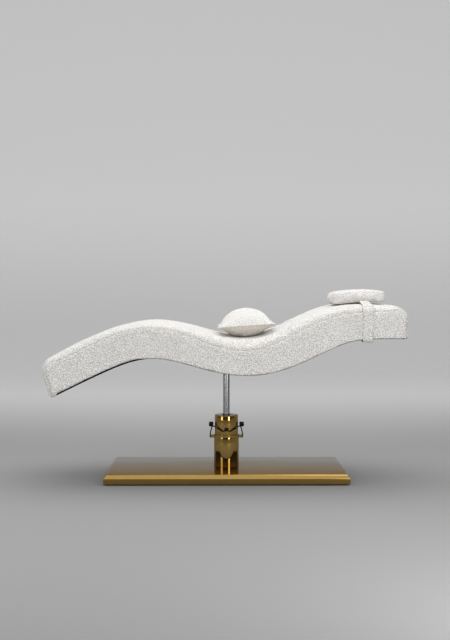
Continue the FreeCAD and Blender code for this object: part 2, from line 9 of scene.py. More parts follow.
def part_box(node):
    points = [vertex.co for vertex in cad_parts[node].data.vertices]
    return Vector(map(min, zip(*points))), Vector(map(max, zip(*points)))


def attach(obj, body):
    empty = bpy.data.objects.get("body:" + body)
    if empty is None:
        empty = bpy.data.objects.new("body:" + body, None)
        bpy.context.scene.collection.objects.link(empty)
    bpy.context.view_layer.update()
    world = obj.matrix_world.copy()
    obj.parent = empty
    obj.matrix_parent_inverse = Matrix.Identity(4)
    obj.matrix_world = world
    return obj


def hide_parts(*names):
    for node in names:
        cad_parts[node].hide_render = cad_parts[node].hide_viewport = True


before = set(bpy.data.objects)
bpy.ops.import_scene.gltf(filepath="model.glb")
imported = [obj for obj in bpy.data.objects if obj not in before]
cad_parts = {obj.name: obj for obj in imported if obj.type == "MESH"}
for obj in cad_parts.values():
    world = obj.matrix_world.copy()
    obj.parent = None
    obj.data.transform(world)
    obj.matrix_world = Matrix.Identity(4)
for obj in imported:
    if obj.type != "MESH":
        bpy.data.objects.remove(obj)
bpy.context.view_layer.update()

# Massage lounger, in metres. The same sizes as the CAD model's driving dimensions.
HALF_LENGTH = 0.950
HALF_WIDTH = 0.340
UNDERSIDE = [(-0.960, 0.443), (-0.656, 0.591), (-0.396, 0.670), (-0.135, 0.618), (0.073, 0.581),
             (0.281, 0.606), (0.489, 0.692), (0.645, 0.756), (0.802, 0.772), (0.960, 0.773)]
THICKNESS = [(-0.960, 0.190), (-0.640, 0.200), (-0.396, 0.189), (-0.100, 0.191), (0.160, 0.197),
             (0.440, 0.205), (0.580, 0.201), (0.740, 0.184), (0.960, 0.171)]
SEAM_HEIGHT = [(-0.960, 0.158), (-0.700, 0.158), (-0.422, 0.162), (-0.245, 0.147), (-0.068, 0.133),
               (0.109, 0.132), (0.286, 0.144), (0.450, 0.156), (0.552, 0.157), (0.680, 0.147),
               (0.960, 0.146)]
SHOULDER_WIDTH = [(-0.960, 0.080), (-0.700, 0.078), (-0.422, 0.070), (-0.068, 0.096), (0.109, 0.104),
                  (0.286, 0.096), (0.552, 0.072), (0.960, 0.074)]
FOOT_END_TOP = (-0.9770, 0.612)
FOOT_END_LEAN = math.radians(17.0)
FOOT_CORNER = 0.080
HEAD_CORNER = 0.075
FOOT_BOTTOM_CORNER = 0.026
HEAD_BOTTOM_CORNER = 0.011
FOOT_END_DROP = 0.026
HEAD_END_DROP = 0.013
UNDER_OFFSET = 0.0015
TURN_UNDER = 0.026
CROWN = 0.004


# ---- small tools
def spline(points):
    """A natural cubic spline through the points, for numpy arrays."""
    xs = np.array([p[0] for p in points], float)
    zs = np.array([p[1] for p in points], float)
    count = len(xs)
    gap = np.diff(xs)
    system = np.eye(count)
    load = np.zeros(count)
    for i in range(1, count - 1):
        system[i, i - 1] = gap[i - 1]
        system[i, i] = 2 * (gap[i - 1] + gap[i])
        system[i, i + 1] = gap[i]
        load[i] = 6 * ((zs[i + 1] - zs[i]) / gap[i] - (zs[i] - zs[i - 1]) / gap[i - 1])
    bend = np.linalg.solve(system, load)

    def value(x):
        x = np.asarray(x, float)
        i = np.clip(np.searchsorted(xs, x) - 1, 0, count - 2)
        a = (xs[i + 1] - x) / gap[i]
        b = (x - xs[i]) / gap[i]
        curve = (a ** 3 - a) * bend[i] + (b ** 3 - b) * bend[i + 1]
        return a * zs[i] + b * zs[i + 1] + curve * gap[i] ** 2 / 6

    return value


def smoothstep(low, high, x):
    """Rises smoothly from 0 at low to 1 at high."""
    t = np.clip((np.asarray(x, float) - low) / (high - low), 0.0, 1.0)
    return t * t * (3 - 2 * t)


def mix(a, b, t):
    """From a to b as t goes from 0 to 1."""
    return a * (1 - t) + b * t


def bell(x, middle, width):
    """A smooth hump of height 1 at the middle, gone at about two widths from it."""
    return np.exp(-((x - middle) / width) ** 2)


def run_along(points):
    """The distance along a polyline at each of its points."""
    return np.concatenate([[0.0], np.cumsum(np.linalg.norm(np.diff(points, axis=0), axis=1))])


def resample(points, count):
    """Evenly spaced points along a polyline."""
    points = np.asarray(points, float)
    along = run_along(points)
    stations = np.linspace(0.0, along[-1], count)
    return np.stack([np.interp(stations, along, points[:, k]) for k in range(points.shape[1])], 1)


def unit(ways):
    """Each direction, scaled to a length of 1."""
    return ways / np.maximum(np.linalg.norm(ways, axis=-1, keepdims=True), 1e-12)


def directions(points):
    """The unit direction of a polyline at each of its points."""
    return unit(np.gradient(points, axis=0))


def ring_faces(first, second, count):
    """The faces between two closed rings of vertices, given the index that each ring starts at."""
    faces = []
    for k in range(count):
        n = (k + 1) % count
        faces.append((first + k, first + n, second + n, second + k))
    return faces


def field(points, size, shift=0.0):
    """Smooth noise from -1 to 1 at each point, with lumps of that size."""
    flat = np.asarray(points, float).reshape(-1, 3) / size + shift
    values = [noise.noise(Vector(p)) for p in flat.tolist()]
    return np.array(values).reshape(np.asarray(points).shape[:-1])


def grid_normals(points):
    """The unit normal of a surface grid at each of its points."""
    along = np.gradient(points, axis=0)
    across = np.gradient(points, axis=1)
    return unit(np.cross(along, across))


def link_object(name, data):
    """A new object in the scene that holds a mesh, light or camera."""
    obj = bpy.data.objects.new(name, data)
    bpy.context.scene.collection.objects.link(obj)
    return obj


def smooth_shade(mesh):
    """Shades every face of a mesh smooth."""
    mesh.polygons.foreach_set("use_smooth", [True] * len(mesh.polygons))


def new_object(name, vertices, faces, material):
    """A smooth-shaded object whose faces all look outward."""
    mesh = bpy.data.meshes.new(name)
    mesh.from_pydata([tuple(v) for v in vertices], [], faces)
    mesh.update()
    shape = bmesh.new()
    shape.from_mesh(mesh)
    bmesh.ops.recalc_face_normals(shape, faces=shape.faces)
    shape.to_mesh(mesh)
    shape.free()
    smooth_shade(mesh)
    mesh.materials.append(material)
    return link_object(name, mesh)


def fit_of(obj, body, nodes):
    """Ties a finished piece to its CAD body and hides the CAD nodes it takes the place of."""
    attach(obj, body)
    if nodes:
        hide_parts(*nodes)
    return obj


def shell(name, outer, wall, material):
    """A closed skin: the outer grid, a coarser inner grid a wall's depth below it, and a rim."""
    step = 4
    rows, columns = outer.shape[:2]
    normals = grid_normals(outer)
    inner = (outer - normals * wall)[::step, ::step]
    inner_rows, inner_columns = inner.shape[:2]
    base = rows * columns
    vertices = np.concatenate([outer.reshape(-1, 3), inner.reshape(-1, 3)])
    faces = []
    for i in range(rows - 1):
        start = i * columns
        for j in range(columns - 1):
            a = start + j
            faces.append((a, a + 1, a + columns + 1, a + columns))
    for i in range(inner_rows - 1):
        for j in range(inner_columns - 1):
            a = base + i * inner_columns + j
            faces.append((a, a + inner_columns, a + inner_columns + 1, a + 1))
    for i in range(inner_rows - 1):
        for j, side in ((0, 0), (columns - 1, inner_columns - 1)):
            edge = [(i * step + k) * columns + j for k in range(step + 1)]
            back = [base + (i + 1) * inner_columns + side, base + i * inner_columns + side]
            faces.append(tuple(edge + back))
    for j in range(inner_columns - 1):
        for i, side in ((0, 0), (rows - 1, inner_rows - 1)):
            edge = [i * columns + j * step + k for k in range(step + 1)]
            back = [base + side * inner_columns + j + 1, base + side * inner_columns + j]
            faces.append(tuple(edge + back))
    return new_object(name, vertices, faces, material)


def lathe(name, outline, material):
    """A turned piece about the column's axis, from a closed outline of (radius, z)."""
    vertices = []
    faces = []
    count = len(outline)
    for i in range(LATHE_SEGMENTS):
        angle = 2 * math.pi * i / LATHE_SEGMENTS
        for radius, z in outline:
            vertices.append((radius * math.cos(angle), radius * math.sin(angle), z))
    for i in range(LATHE_SEGMENTS):
        following = (i + 1) % LATHE_SEGMENTS
        for k in range(count):
            after = (k + 1) % count
            faces.append((i * count + k, following * count + k, following * count + after,
                          i * count + after))
    return new_object(name, vertices, faces, material)


def rounded_outline(corners, radius, steps=4):
    """A closed (r, z) outline with each corner eased by a small radius."""
    result = []
    total = len(corners)
    for i in range(total):
        before = np.array(corners[i - 1], float)
        here = np.array(corners[i], float)
        after = np.array(corners[(i + 1) % total], float)
        start = here + unit(before - here) * radius
        end = here + unit(after - here) * radius
        for k in range(steps + 1):
            t = k / steps
            result.append(tuple((1 - t) ** 2 * start + 2 * t * (1 - t) * here + t * t * end))
    return result


def tube(name, path, radius, material, sides):
    """A round wire along a dense path, with domed ends."""
    tangent = directions(path)
    side = unit(np.cross(tangent[0], (0.31, 0.87, 0.39)))
    vertices = []
    angles = np.linspace(0, 2 * math.pi, sides, endpoint=False)
    frames = []
    for direction in tangent:
        side = unit(side - direction * np.dot(side, direction))
        frames.append((side, np.cross(direction, side)))
    rings = []
    for k in (0.35, 0.8):
        u, v = frames[0]
        rings.append((path[0] - tangent[0] * radius * math.sqrt(1 - k * k), u, v, radius * k))
    for middle, (u, v) in zip(path, frames):
        rings.append((middle, u, v, radius))
    for k in (0.8, 0.35):
        u, v = frames[-1]
        rings.append((path[-1] + tangent[-1] * radius * math.sqrt(1 - k * k), u, v, radius * k))
    for middle, u, v, r in rings:
        for angle in angles:
            vertices.append(middle + (u * math.cos(angle) + v * math.sin(angle)) * r)
    faces = []
    for i in range(len(rings) - 1):
        faces += ring_faces(i * sides, (i + 1) * sides, sides)
    faces.append(tuple(range(sides)))
    last = (len(rings) - 1) * sides
    faces.append(tuple(range(last + sides - 1, last - 1, -1)))
    return new_object(name, vertices, faces, material)


def closed_tube(name, path, radius, material, sides):
    """A round roll along a closed loop of points."""
    tangent = unit(np.roll(path, -1, axis=0) - np.roll(path, 1, axis=0))
    up = np.array([0.0, 0.0, 1.0])
    count = len(path)
    vertices = []
    for middle, direction in zip(path, tangent):
        side = unit(np.cross(direction, up))
        rise = np.cross(side, direction)
        for k in range(sides):
            angle = 2 * math.pi * k / sides
            vertices.append(middle + (side * math.cos(angle) + rise * math.sin(angle)) * radius)
    faces = []
    for i in range(count):
        faces += ring_faces(i * sides, (i + 1) % count * sides, sides)
    return new_object(name, vertices, faces, material)


# ---- materials
def start_material(name):
    """A new material, with its node tree and its shader."""
    material = bpy.data.materials.new(name)
    material.use_nodes = True
    tree = material.node_tree
    shader = tree.nodes["Principled BSDF"]
    return material, tree, shader


def wire(tree, inputs, given):
    """Fills inputs by name or number: an output is linked, and anything else is set as the value."""
    for key, value in given.items():
        if isinstance(value, bpy.types.NodeSocket):
            tree.links.new(value, inputs[key])
        else:
            inputs[key].default_value = value


def add_node(tree, kind, given, **settings):
    """A new node with its settings made and its inputs filled."""
    node = tree.nodes.new("ShaderNode" + kind)
    for key, value in settings.items():
        setattr(node, key, value)
    wire(tree, node.inputs, given)
    return node


def place(tree):
    """The place on the object, which every texture is laid out by."""
    return add_node(tree, "TexCoord", {}).outputs["Object"]


def add_noise(tree, vector, scale, detail=2.0, roughness=0.5, distortion=0.0):
    """A noise texture."""
    return add_node(tree, "TexNoise", {"Scale": scale, "Detail": detail, "Roughness": roughness,
                                       "Distortion": distortion, "Vector": vector})


def add_ramp(tree, value, stops):
    """Colours a value by stops of (position, colour)."""
    node = add_node(tree, "ValToRGB", {"Fac": value})
    ramp = node.color_ramp
    ramp.elements[0].position = stops[0][0]
    ramp.elements[0].color = (*stops[0][1], 1.0)
    ramp.elements[1].position = stops[-1][0]
    ramp.elements[1].color = (*stops[-1][1], 1.0)
    for position, colour in stops[1:-1]:
        element = ramp.elements.new(position)
        element.color = (*colour, 1.0)
    return node.outputs["Color"]


def add_range(tree, value, low, high):
    """Maps a value from 0 to 1 onto low to high."""
    return add_node(tree, "MapRange", {"To Min": low, "To Max": high, "Value": value}).outputs["Result"]


def add_bumps(tree, *layers):
    """Relief in layers of (height, strength, distance), each on the one before."""
    given = {}
    for height, strength, distance in layers:
        given |= {"Strength": strength, "Distance": distance, "Height": height}
        given["Normal"] = add_node(tree, "Bump", given).outputs["Normal"]
    return given["Normal"]


def multiply_add(tree, value, factor, added):
    """A value times a factor, with another value added."""
    given = {0: value, 1: factor, 2: added}
    return add_node(tree, "Math", given, operation="MULTIPLY_ADD").outputs[0]


def boucle(name, light, dark, loop_size):
    """Looped boucle cloth: rounded nubs of yarn close together, with painted shade in the gaps between them
    and painted light on their tops.
    """
    material, tree, shader = start_material(name)
    where = place(tree)
    warp = add_noise(tree, where, 0.40 / loop_size).outputs["Color"]
    bend = add_node(tree, "MixRGB", {"Fac": loop_size * 0.60, "Color1": where, "Color2": warp},
                    blend_type="LINEAR_LIGHT").outputs["Color"]
    loops = add_node(tree, "TexVoronoi", {"Scale": 1.0 / loop_size, "Smoothness": 0.35, "Vector": bend},
                     feature="SMOOTH_F1")
    curl = add_noise(tree, bend, 1.7 / loop_size, distortion=0.8).outputs["Fac"]
    fuzz = add_noise(tree, where, 850.0).outputs["Fac"]
    broad = add_noise(tree, where, 7.0, 3.0).outputs["Fac"]
    raised = add_range(tree, loops.outputs["Distance"], 1.0, 0.0)
    height = multiply_add(tree, curl, 0.45, raised)
    # The colour follows the relief: painted shade in the gaps between the nubs and painted light on their
    # raised tops, plus a broad random tone in the yarn.
    painted_shade_and_tone = multiply_add(tree, broad, 0.10, height)
    middle = tuple(0.35 * d + 0.65 * l for d, l in zip(dark, light))
    wire(tree, shader.inputs, {
        "Base Color": add_ramp(tree, painted_shade_and_tone, [(0.66, dark), (0.80, middle), (0.98, light)]),
        "Roughness": add_range(tree, curl, 0.98, 0.82),
        "Normal": add_bumps(tree, (height, 1.0, 0.0060), (fuzz, 0.30, 0.0012)),
        "Sheen Weight": 0.15, "Sheen Roughness": 0.6, "Specular IOR Level": 0.12})
    return material


def metal(name, colour, edge, rough, rough_spread, bump=0.02, bump_scale=40.0, grime=0.94):
    """A metal with fine wear in its gloss and slight waviness."""
    material, tree, shader = start_material(name)
    where = place(tree)
    wear = add_noise(tree, where, 35.0, 4.0, 0.6).outputs["Fac"]
    fine = add_noise(tree, where, 420.0).outputs["Fac"]
    waves = add_noise(tree, where, bump_scale).outputs["Fac"]
    dim = tuple(c * grime for c in colour)
    wire(tree, shader.inputs, {
        "Base Color": add_ramp(tree, wear, [(0.35, dim), (0.65, colour)]),
        "Roughness": add_range(tree, wear, rough - rough_spread, rough + rough_spread),
        "Normal": add_bumps(tree, (waves, bump, 0.002), (fine, bump * 0.5, 0.0003)),
        "Metallic": 1.0, "Specular Tint": (*edge, 1.0)})
    return material


def plain(name, colour, rough, spread=0.08, scale=60.0, bump=0.2, depth=0.001, contrast=0.75,
          specular=0.4):
    """A non-metal with grain in its colour, gloss and relief."""
    material, tree, shader = start_material(name)
    where = place(tree)
    grain = add_noise(tree, where, scale, 4.0, 0.6).outputs["Fac"]
    fine = add_noise(tree, where, scale * 9.0).outputs["Fac"]
    dim = tuple(c * contrast for c in colour)
    wire(tree, shader.inputs, {
        "Base Color": add_ramp(tree, grain, [(0.3, dim), (0.7, colour)]),
        "Roughness": add_range(tree, grain, rough - spread, rough + spread),
        "Normal": add_bumps(tree, (fine, bump, depth)),
        "Specular IOR Level": specular})
    return material


WHITE = boucle("white_boucle", (0.96, 0.945, 0.92), (0.66, 0.635, 0.60), 0.0066)
CUSHION_WHITE = boucle("cushion_boucle", (0.93, 0.915, 0.895), (0.70, 0.68, 0.65), 0.0066)
PILLOW_WHITE = boucle("pillow_boucle", (0.89, 0.875, 0.85), (0.78, 0.755, 0.715), 0.0062)
# The pillow's underside: its cream tint, painted brighter to stand in for light bounced up from the body.
PILLOW_CREAM_BOUNCE_LIT = boucle("pillow_cream_bounce_lit_boucle", (0.97, 0.91, 0.84), (0.90, 0.83, 0.75), 0.0062)
BRASS = metal("polished_brass", (0.41, 0.262, 0.080), (0.60, 0.59, 0.59), 0.055, 0.025, 0.010, 14.0)
CHROME = metal("chrome_rod", (0.42, 0.425, 0.44), (0.66, 0.66, 0.67), 0.18, 0.03, 0.01, 30.0)
DARK_WIRE = metal("dark_spring_wire", (0.030, 0.026, 0.022), (0.6, 0.6, 0.6), 0.30, 0.08, 0.1, 90.0, 0.7)
STEEL = metal("frame_steel", (0.30, 0.31, 0.32), (0.8, 0.8, 0.8), 0.45, 0.10, 0.15, 80.0, 0.85)
BALLAST = metal("ballast_steel", (0.20, 0.20, 0.21), (0.8, 0.8, 0.8), 0.55, 0.10, 0.25, 60.0, 0.8)
BRIGHT = metal("bright_steel", (0.56, 0.56, 0.57), (0.9, 0.9, 0.9), 0.28, 0.08, 0.08, 90.0, 0.9)
BRONZE = metal("bearing_bronze", (0.45, 0.29, 0.15), (0.8, 0.8, 0.8), 0.35, 0.08, 0.1, 70.0, 0.85)
BOARD_BLACK = plain("black_board", (0.004, 0.004, 0.004), 0.92, 0.05, 60.0, 0.2, 0.0004, 0.7, 0.05)
RUBBER = plain("black_rubber", (0.018, 0.018, 0.019), 0.75, 0.10, 70.0, 0.3, 0.0008)
POLYMER = plain("bearing_polymer", (0.72, 0.70, 0.64), 0.45, 0.08, 50.0, 0.15, 0.0005, 0.9)
FOAM = plain("foam", (0.76, 0.70, 0.52), 0.9, 0.06, 160.0, 0.6, 0.002, 0.85, 0.1)
HOOK_TAPE = plain("hook_tape", (0.03, 0.03, 0.032), 0.85, 0.08, 300.0, 0.8, 0.0015, 0.6, 0.1)
BLACKENED = plain("blackened_lug", (0.010, 0.009, 0.008), 0.6, 0.08, 90.0, 0.2, 0.0004, 0.7, 0.15)

BY_SLOT = {"white_boucle": WHITE, "foam": FOAM, "polished_brass": BRASS, "chrome_rod": CHROME,
           "dark_spring_wire": DARK_WIRE, "black_board": BOARD_BLACK, "frame_steel": STEEL,
           "ballast_steel": BALLAST, "bright_steel": BRIGHT, "black_rubber": RUBBER,
           "bearing_polymer": POLYMER, "bearing_bronze": BRONZE, "hook_tape": HOOK_TAPE}


def dress_cad_nodes():
    """Gives each CAD node the full version of the plain finish it was packed with."""
    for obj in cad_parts.values():
        slot = obj.data.materials[0].name.split(".")[0]
        obj.data.materials.clear()
        obj.data.materials.append(BY_SLOT[slot])


dress_cad_nodes()
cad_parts["latch_lug"].data.materials[0] = BLACKENED


# ---- the body's form
STATIONS = np.linspace(-0.960, 0.960, 3000)
SLOPE_STEP = 0.001
underside = spline(UNDERSIDE)
thickness = spline(THICKNESS)
seam_height = spline(SEAM_HEIGHT)
shoulder_width = spline(SHOULDER_WIDTH)


def underside_normal(x):
    """The unit direction square to the underside and up, as (x, z)."""
    slope = (underside(x + SLOPE_STEP) - underside(x - SLOPE_STEP)) / (2 * SLOPE_STEP)
    length = np.hypot(1.0, slope)
    return np.stack([-slope / length, 1.0 / length], -1)


def above(x, rise):
    """Points at a distance from the underside, square to it, as (x, z)."""
    square = underside_normal(x)
    return np.stack([x + square[..., 0] * rise, underside(x) + square[..., 1] * rise], -1)


def nearest_station(points, rise):
    """The station whose place at that rise above the underside is nearest to each point."""
    line = above(STATIONS, rise)
    return np.array([STATIONS[int(np.argmin(np.sum((line - p) ** 2, axis=1)))] for p in points])


def foot_line(z):
    """The foot end's x at a height."""
    return FOOT_END_TOP[0] - (z - FOOT_END_TOP[1]) * math.tan(FOOT_END_LEAN)


def cut_between(curve, test):
    """The part of a polyline where the test holds, with the crossing point added."""
    keep = [test(p) for p in curve]
    result = []
    for i, point in enumerate(curve):
        if keep[i]:
            result.append(point)
        if i + 1 < len(curve) and keep[i] != keep[i + 1]:
            low, high = (point, curve[i + 1]) if keep[i] else (curve[i + 1], point)
            for _ in range(30):
                middle = (low + high) / 2
                if test(middle):
                    low = middle
                else:
                    high = middle
            result.append(low)
    return np.array(result)


def ease_corner(first, second, radius):
    """Joins two polylines that meet at a corner with a rounded turn of about that radius."""
    one = np.array(first)
    two = np.array(second)
    arriving = unit(one[-1] - one[-8])
    leaving = unit(two[7] - two[0])
    turn = math.acos(float(np.clip(np.dot(arriving, leaving), -1, 1)))
    reach = radius * math.tan(turn / 2)
    along_one = run_along(one[::-1])[1:]
    along_two = run_along(two)[1:]
    one = one[:len(one) - 1 - int(np.searchsorted(along_one, reach))]
    two = two[1 + int(np.searchsorted(along_two, reach)):]
    start, end = one[-1], two[0]
    start_way = unit(one[-1] - one[-4])
    end_way = unit(two[3] - two[0])
    handle = 4 / 3 * math.tan(turn / 4) * radius
    t = np.linspace(0, 1, 60)[1:-1, None]
    control = [start, start + start_way * handle, end - end_way * handle, end]
    arc = ((1 - t) ** 3 * control[0] + 3 * t * (1 - t) ** 2 * control[1]
           + 3 * t ** 2 * (1 - t) * control[2] + t ** 3 * control[3])
    return np.concatenate([one, arc, two]), start, end


UNDER_POINTS = 281
FACE_POINTS = 800


def outer_path():
    """The top panel's path in side view: under the foot end, up, along the top, down, under."""
    def between_ends(point):
        """Whether a side-view point lies between the foot end's slant and the head end."""
        return foot_line(point[1]) < point[0] < HALF_LENGTH

    fine = np.linspace(STATIONS[0], STATIONS[-1], 6000)
    top = cut_between(above(fine, thickness(fine)), between_ends)
    under = cut_between(above(fine, -UNDER_OFFSET), between_ends)
    foot_under = under[:UNDER_POINTS][::-1]
    head_under = under[-UNDER_POINTS:][::-1]
    foot_face = np.linspace(under[0], top[0], FACE_POINTS)
    head_face = np.linspace(top[-1], under[-1], FACE_POINTS)
    path, *foot_bottom = ease_corner(foot_under, foot_face, FOOT_BOTTOM_CORNER)
    path, *foot_top = ease_corner(path, top, FOOT_CORNER)
    path, *head_top = ease_corner(path, head_face, HEAD_CORNER)
    path, *head_bottom = ease_corner(path, head_under, HEAD_BOTTOM_CORNER)
    run = run_along(path)
    marks = [run[int(np.argmin(np.linalg.norm(path - mark, axis=1)))]
             for mark in foot_bottom + foot_top + head_top + head_bottom]
    low = marks[0] - TURN_UNDER
    high = marks[-1] + TURN_UNDER
    keep = (run >= low) & (run <= high)
    return path[keep], [m - low for m in marks]


# The runs along the path at which each of its four rounded corners starts and ends.
PATH, MARKS = outer_path()
FOOT_BOTTOM_START, FOOT_BOTTOM_END, FOOT_TOP_START, FOOT_TOP_END = MARKS[:4]
HEAD_TOP_START, HEAD_TOP_END, HEAD_BOTTOM_START, HEAD_BOTTOM_END = MARKS[4:]
SEAM_REACH = 0.005
RELIEF_FADE = 0.0025
PATH_ROWS = 529
ACROSS_FLAT = 60
ACROSS_SHOULDER = 24
SHOULDER_FULLNESS = 2.25


def path_frame(rows):
    """Even stations on the path: their place, inward normal and run."""
    places = resample(PATH, rows)
    way = directions(places)
    inward = np.stack([way[:, 1], -way[:, 0]], 1)
    return places, inward, run_along(places)


def drops(places, run):
    """How far below the path the seam lies, and how wide the rounded shoulder is."""
    x = nearest_station(places, thickness(STATIONS))
    drop = thickness(x) - seam_height(x)
    wide = shoulder_width(x)
    at_foot = 1 - smoothstep(FOOT_TOP_END - 0.05, FOOT_TOP_END + 0.09, run)
    at_head = smoothstep(HEAD_TOP_START - 0.08, HEAD_TOP_END, run)
    drop = mix(mix(drop, FOOT_END_DROP, at_foot), HEAD_END_DROP, at_head)
    wide = mix(wide, 0.036, at_foot + at_head)
    under = 1 - smoothstep(FOOT_BOTTOM_START - 0.004, FOOT_BOTTOM_END + 0.012, run)
    under += smoothstep(HEAD_BOTTOM_START - 0.012, HEAD_BOTTOM_END + 0.004, run)
    drop = mix(drop, 0.005, under)
    wide = mix(wide, 0.010, under)
    return drop, wide


def half_width_at(run):
    """The turned-under ends of the top panel narrow a little."""
    at_foot = 1 - smoothstep(FOOT_BOTTOM_START - TURN_UNDER, FOOT_BOTTOM_START - 0.006, run)
    at_head = smoothstep(HEAD_BOTTOM_END + 0.006, HEAD_BOTTOM_END + TURN_UNDER, run)
    return HALF_WIDTH - 0.022 * (at_foot + at_head)


def seam_sink(x):
    """How deep the long seam is drawn in: hardly at all but towards the head end."""
    return mix(0.0001, 0.0015, smoothstep(0.60, 0.72, x))


def boucle_relief(points, amount, size=0.0105):
    """The cloth's own uneven surface, in metres."""
    ridged = 1 - 2.2 * np.abs(field(points, size))
    return amount * (ridged + 0.6 * field(points, size * 0.55, 31.7) - 0.35)


def top_surface(rows):
    """The top cover's outer surface, one crosswise row for each station on the path."""
    places, inward, run = path_frame(rows)
    drop, wide = drops(places, run)
    half_width = half_width_at(run)
    flat = np.linspace(0, 1, ACROSS_FLAT // 2 + 1)[:-1]
    turn = np.linspace(0, math.pi / 2, ACROSS_SHOULDER + 1)
    grid = []
    power = 2 / SHOULDER_FULLNESS
    for i in range(rows):
        inner = half_width[i] - wide[i]
        y = np.concatenate([flat * inner, inner + wide[i] * np.sin(turn) ** power])
        crown = CROWN * np.clip(y / inner, 0, 1) ** 2 * min(1.0, drop[i] / 0.02)
        fall = np.concatenate([np.zeros(len(flat)), 1 - np.cos(turn) ** power])
        depth = crown + (drop[i] - crown[-1]) * fall
        y = np.concatenate([-y[:0:-1], y])
        depth = np.concatenate([depth[:0:-1], depth])
        x = places[i, 0] + inward[i, 0] * depth
        z = places[i, 1] + inward[i, 1] * depth
        grid.append(np.stack([x, y, z], 1))
    return np.array(grid), places, inward


def creases(x, y):
    """Two creases across the top cover: a fold beside the back's rise, and a fainter one in the dip."""
    fold_line = 0.325 + 0.020 * np.cos(y * 7.0)
    dip_line = -0.135 + 0.015 * np.sin(y * 9.0 + 1.0)
    fold = -0.0035 * bell(x, fold_line, 0.011)
    roll = 0.0030 * bell(x, fold_line + 0.026, 0.016)
    return fold + roll - 0.0022 * bell(x, dip_line, 0.013)


def make_top_cover():
    """The top panel, with its creases, drawn in along the seams."""
    grid = top_surface(PATH_ROWS)[0]
    normals = grid_normals(grid)
    if normals[PATH_ROWS // 2, grid.shape[1] // 2, 2] < 0:
        normals = -normals
    reach = np.linalg.norm(np.diff(grid, axis=1), axis=2)
    from_left = np.concatenate([np.zeros((len(grid), 1)), np.cumsum(reach, axis=1)], axis=1)
    from_right = from_left[:, -1:] - from_left
    to_seam = np.minimum(from_left, from_right)
    valley = -seam_sink(grid[..., 0]) * bell(to_seam, 0, SEAM_REACH)
    puff = 0.0012 * bell(to_seam, 0.022, 0.014)
    puff = puff * (0.6 + 0.6 * field(grid, 0.05, 7.0))
    waves = 0.0016 * field(grid, 0.13, 3.0) + 0.0009 * field(grid, 0.045, 11.0)
    crease = creases(grid[..., 0], grid[..., 1]) * (normals[..., 2] > 0.5)
    crease = crease * (0.55 + 0.45 * np.clip(field(grid, 0.22, 19.0) * 2, -1, 1))
    fade = np.clip(to_seam / RELIEF_FADE, 0, 1)
    relief = boucle_relief(grid, 0.0009) * fade
    moved = grid + normals * (valley + puff + waves * fade + crease + relief)[..., None]
    skin = shell("lounger_cover_top", moved, 0.008, WHITE)
    return fit_of(skin, "lounger", ["cover_top", "foam_core"])


def seam_curve():
    """The seam between the top and side panels, in side view, over the path's own run."""
    places, inward, run = path_frame(1400)
    drop = drops(places, run)[0]
    return places + inward * drop[:, None], run


SIDE_COLUMNS = 625
SIDE_ROWS = 44
HEM_ROWS = 5
HEM_TURN = math.radians(75.0)
HEM_RADIUS = 0.0028


def hem_level(x):
    """The hem's height above the underside: the board shows below it along the foot end only."""
    along_foot = 0.0135 - 0.0110 * smoothstep(0.880, 0.900, -x)
    return mix(along_foot, 0.0070, smoothstep(-0.490, -0.405, x))


def distance_to(border, points):
    """Each point's distance from a dense line, a stretch of it at a time."""
    nearest = np.full(len(points), np.inf)
    stretch = 60
    for start in range(0, len(border), stretch):
        piece = border[start:start + stretch]
        nearest = np.minimum(nearest, np.linalg.norm(points[:, None] - piece[None], axis=2).min(axis=1))
    return nearest


def side_sheet():
    """A side panel in side view, hem row first, with its distance from the seam and hem stations."""
    seam, run = seam_curve()
    corners = (FOOT_BOTTOM_START, (FOOT_TOP_START + FOOT_TOP_END) / 2,
               (HEAD_TOP_START + HEAD_TOP_END) / 2, HEAD_BOTTOM_END)
    foot_low, foot_top, head_top, head_low = np.searchsorted(run, corners)
    upper = resample(seam[foot_top:head_top + 1], SIDE_COLUMNS)
    left = resample(seam[foot_low:foot_top + 1], SIDE_ROWS)
    right = resample(seam[head_top:head_low + 1][::-1], SIDE_ROWS)
    level = hem_level(STATIONS)
    line = above(STATIONS, level)
    first = int(np.argmin(np.sum((line - left[0]) ** 2, axis=1)))
    last = int(np.argmin(np.sum((line - right[0]) ** 2, axis=1)))
    left = resample(np.concatenate([line[first:first + 1], left]), SIDE_ROWS)
    right = resample(np.concatenate([line[last:last + 1], right]), SIDE_ROWS)
    station = np.linspace(STATIONS[first], STATIONS[last], SIDE_COLUMNS)
    lower = resample(above(station, np.interp(station, STATIONS, level)), SIDE_COLUMNS)
    lower[0] = left[0]
    lower[-1] = right[0]
    u = np.linspace(0, 1, SIDE_COLUMNS)[None, :, None]
    v = np.linspace(0, 1, SIDE_ROWS)[:, None, None]
    sheet = ((1 - v) * lower[None] + v * upper[None] + (1 - u) * left[:, None] + u * right[:, None]
             - (1 - u) * (1 - v) * lower[0] - u * (1 - v) * lower[-1]
             - (1 - u) * v * upper[0] - u * v * upper[-1])
    border = resample(seam[foot_low:head_low + 1], 900)
    nearest = distance_to(border, sheet.reshape(-1, 2)).reshape(SIDE_ROWS, SIDE_COLUMNS)
    return sheet, nearest, station


def hem_fold(lower, side_y, station):
    """The rows that turn in below the side panel's lower edge, the innermost first."""
    from_end = np.minimum(station - station[0], station[-1] - station)
    radius = mix(0.0005, HEM_RADIUS, smoothstep(0.0, 0.030, from_end))
    down = -underside_normal(nearest_station(lower, 0.008))
    fold = []
    for k in range(HEM_ROWS, 0, -1):
        angle = HEM_TURN * k / HEM_ROWS
        edge = lower + down * (radius * math.sin(angle))[:, None]
        fold.append(np.stack([edge[:, 0], side_y - radius * (1 - math.cos(angle)), edge[:, 1]], 1))
    return np.array(fold)


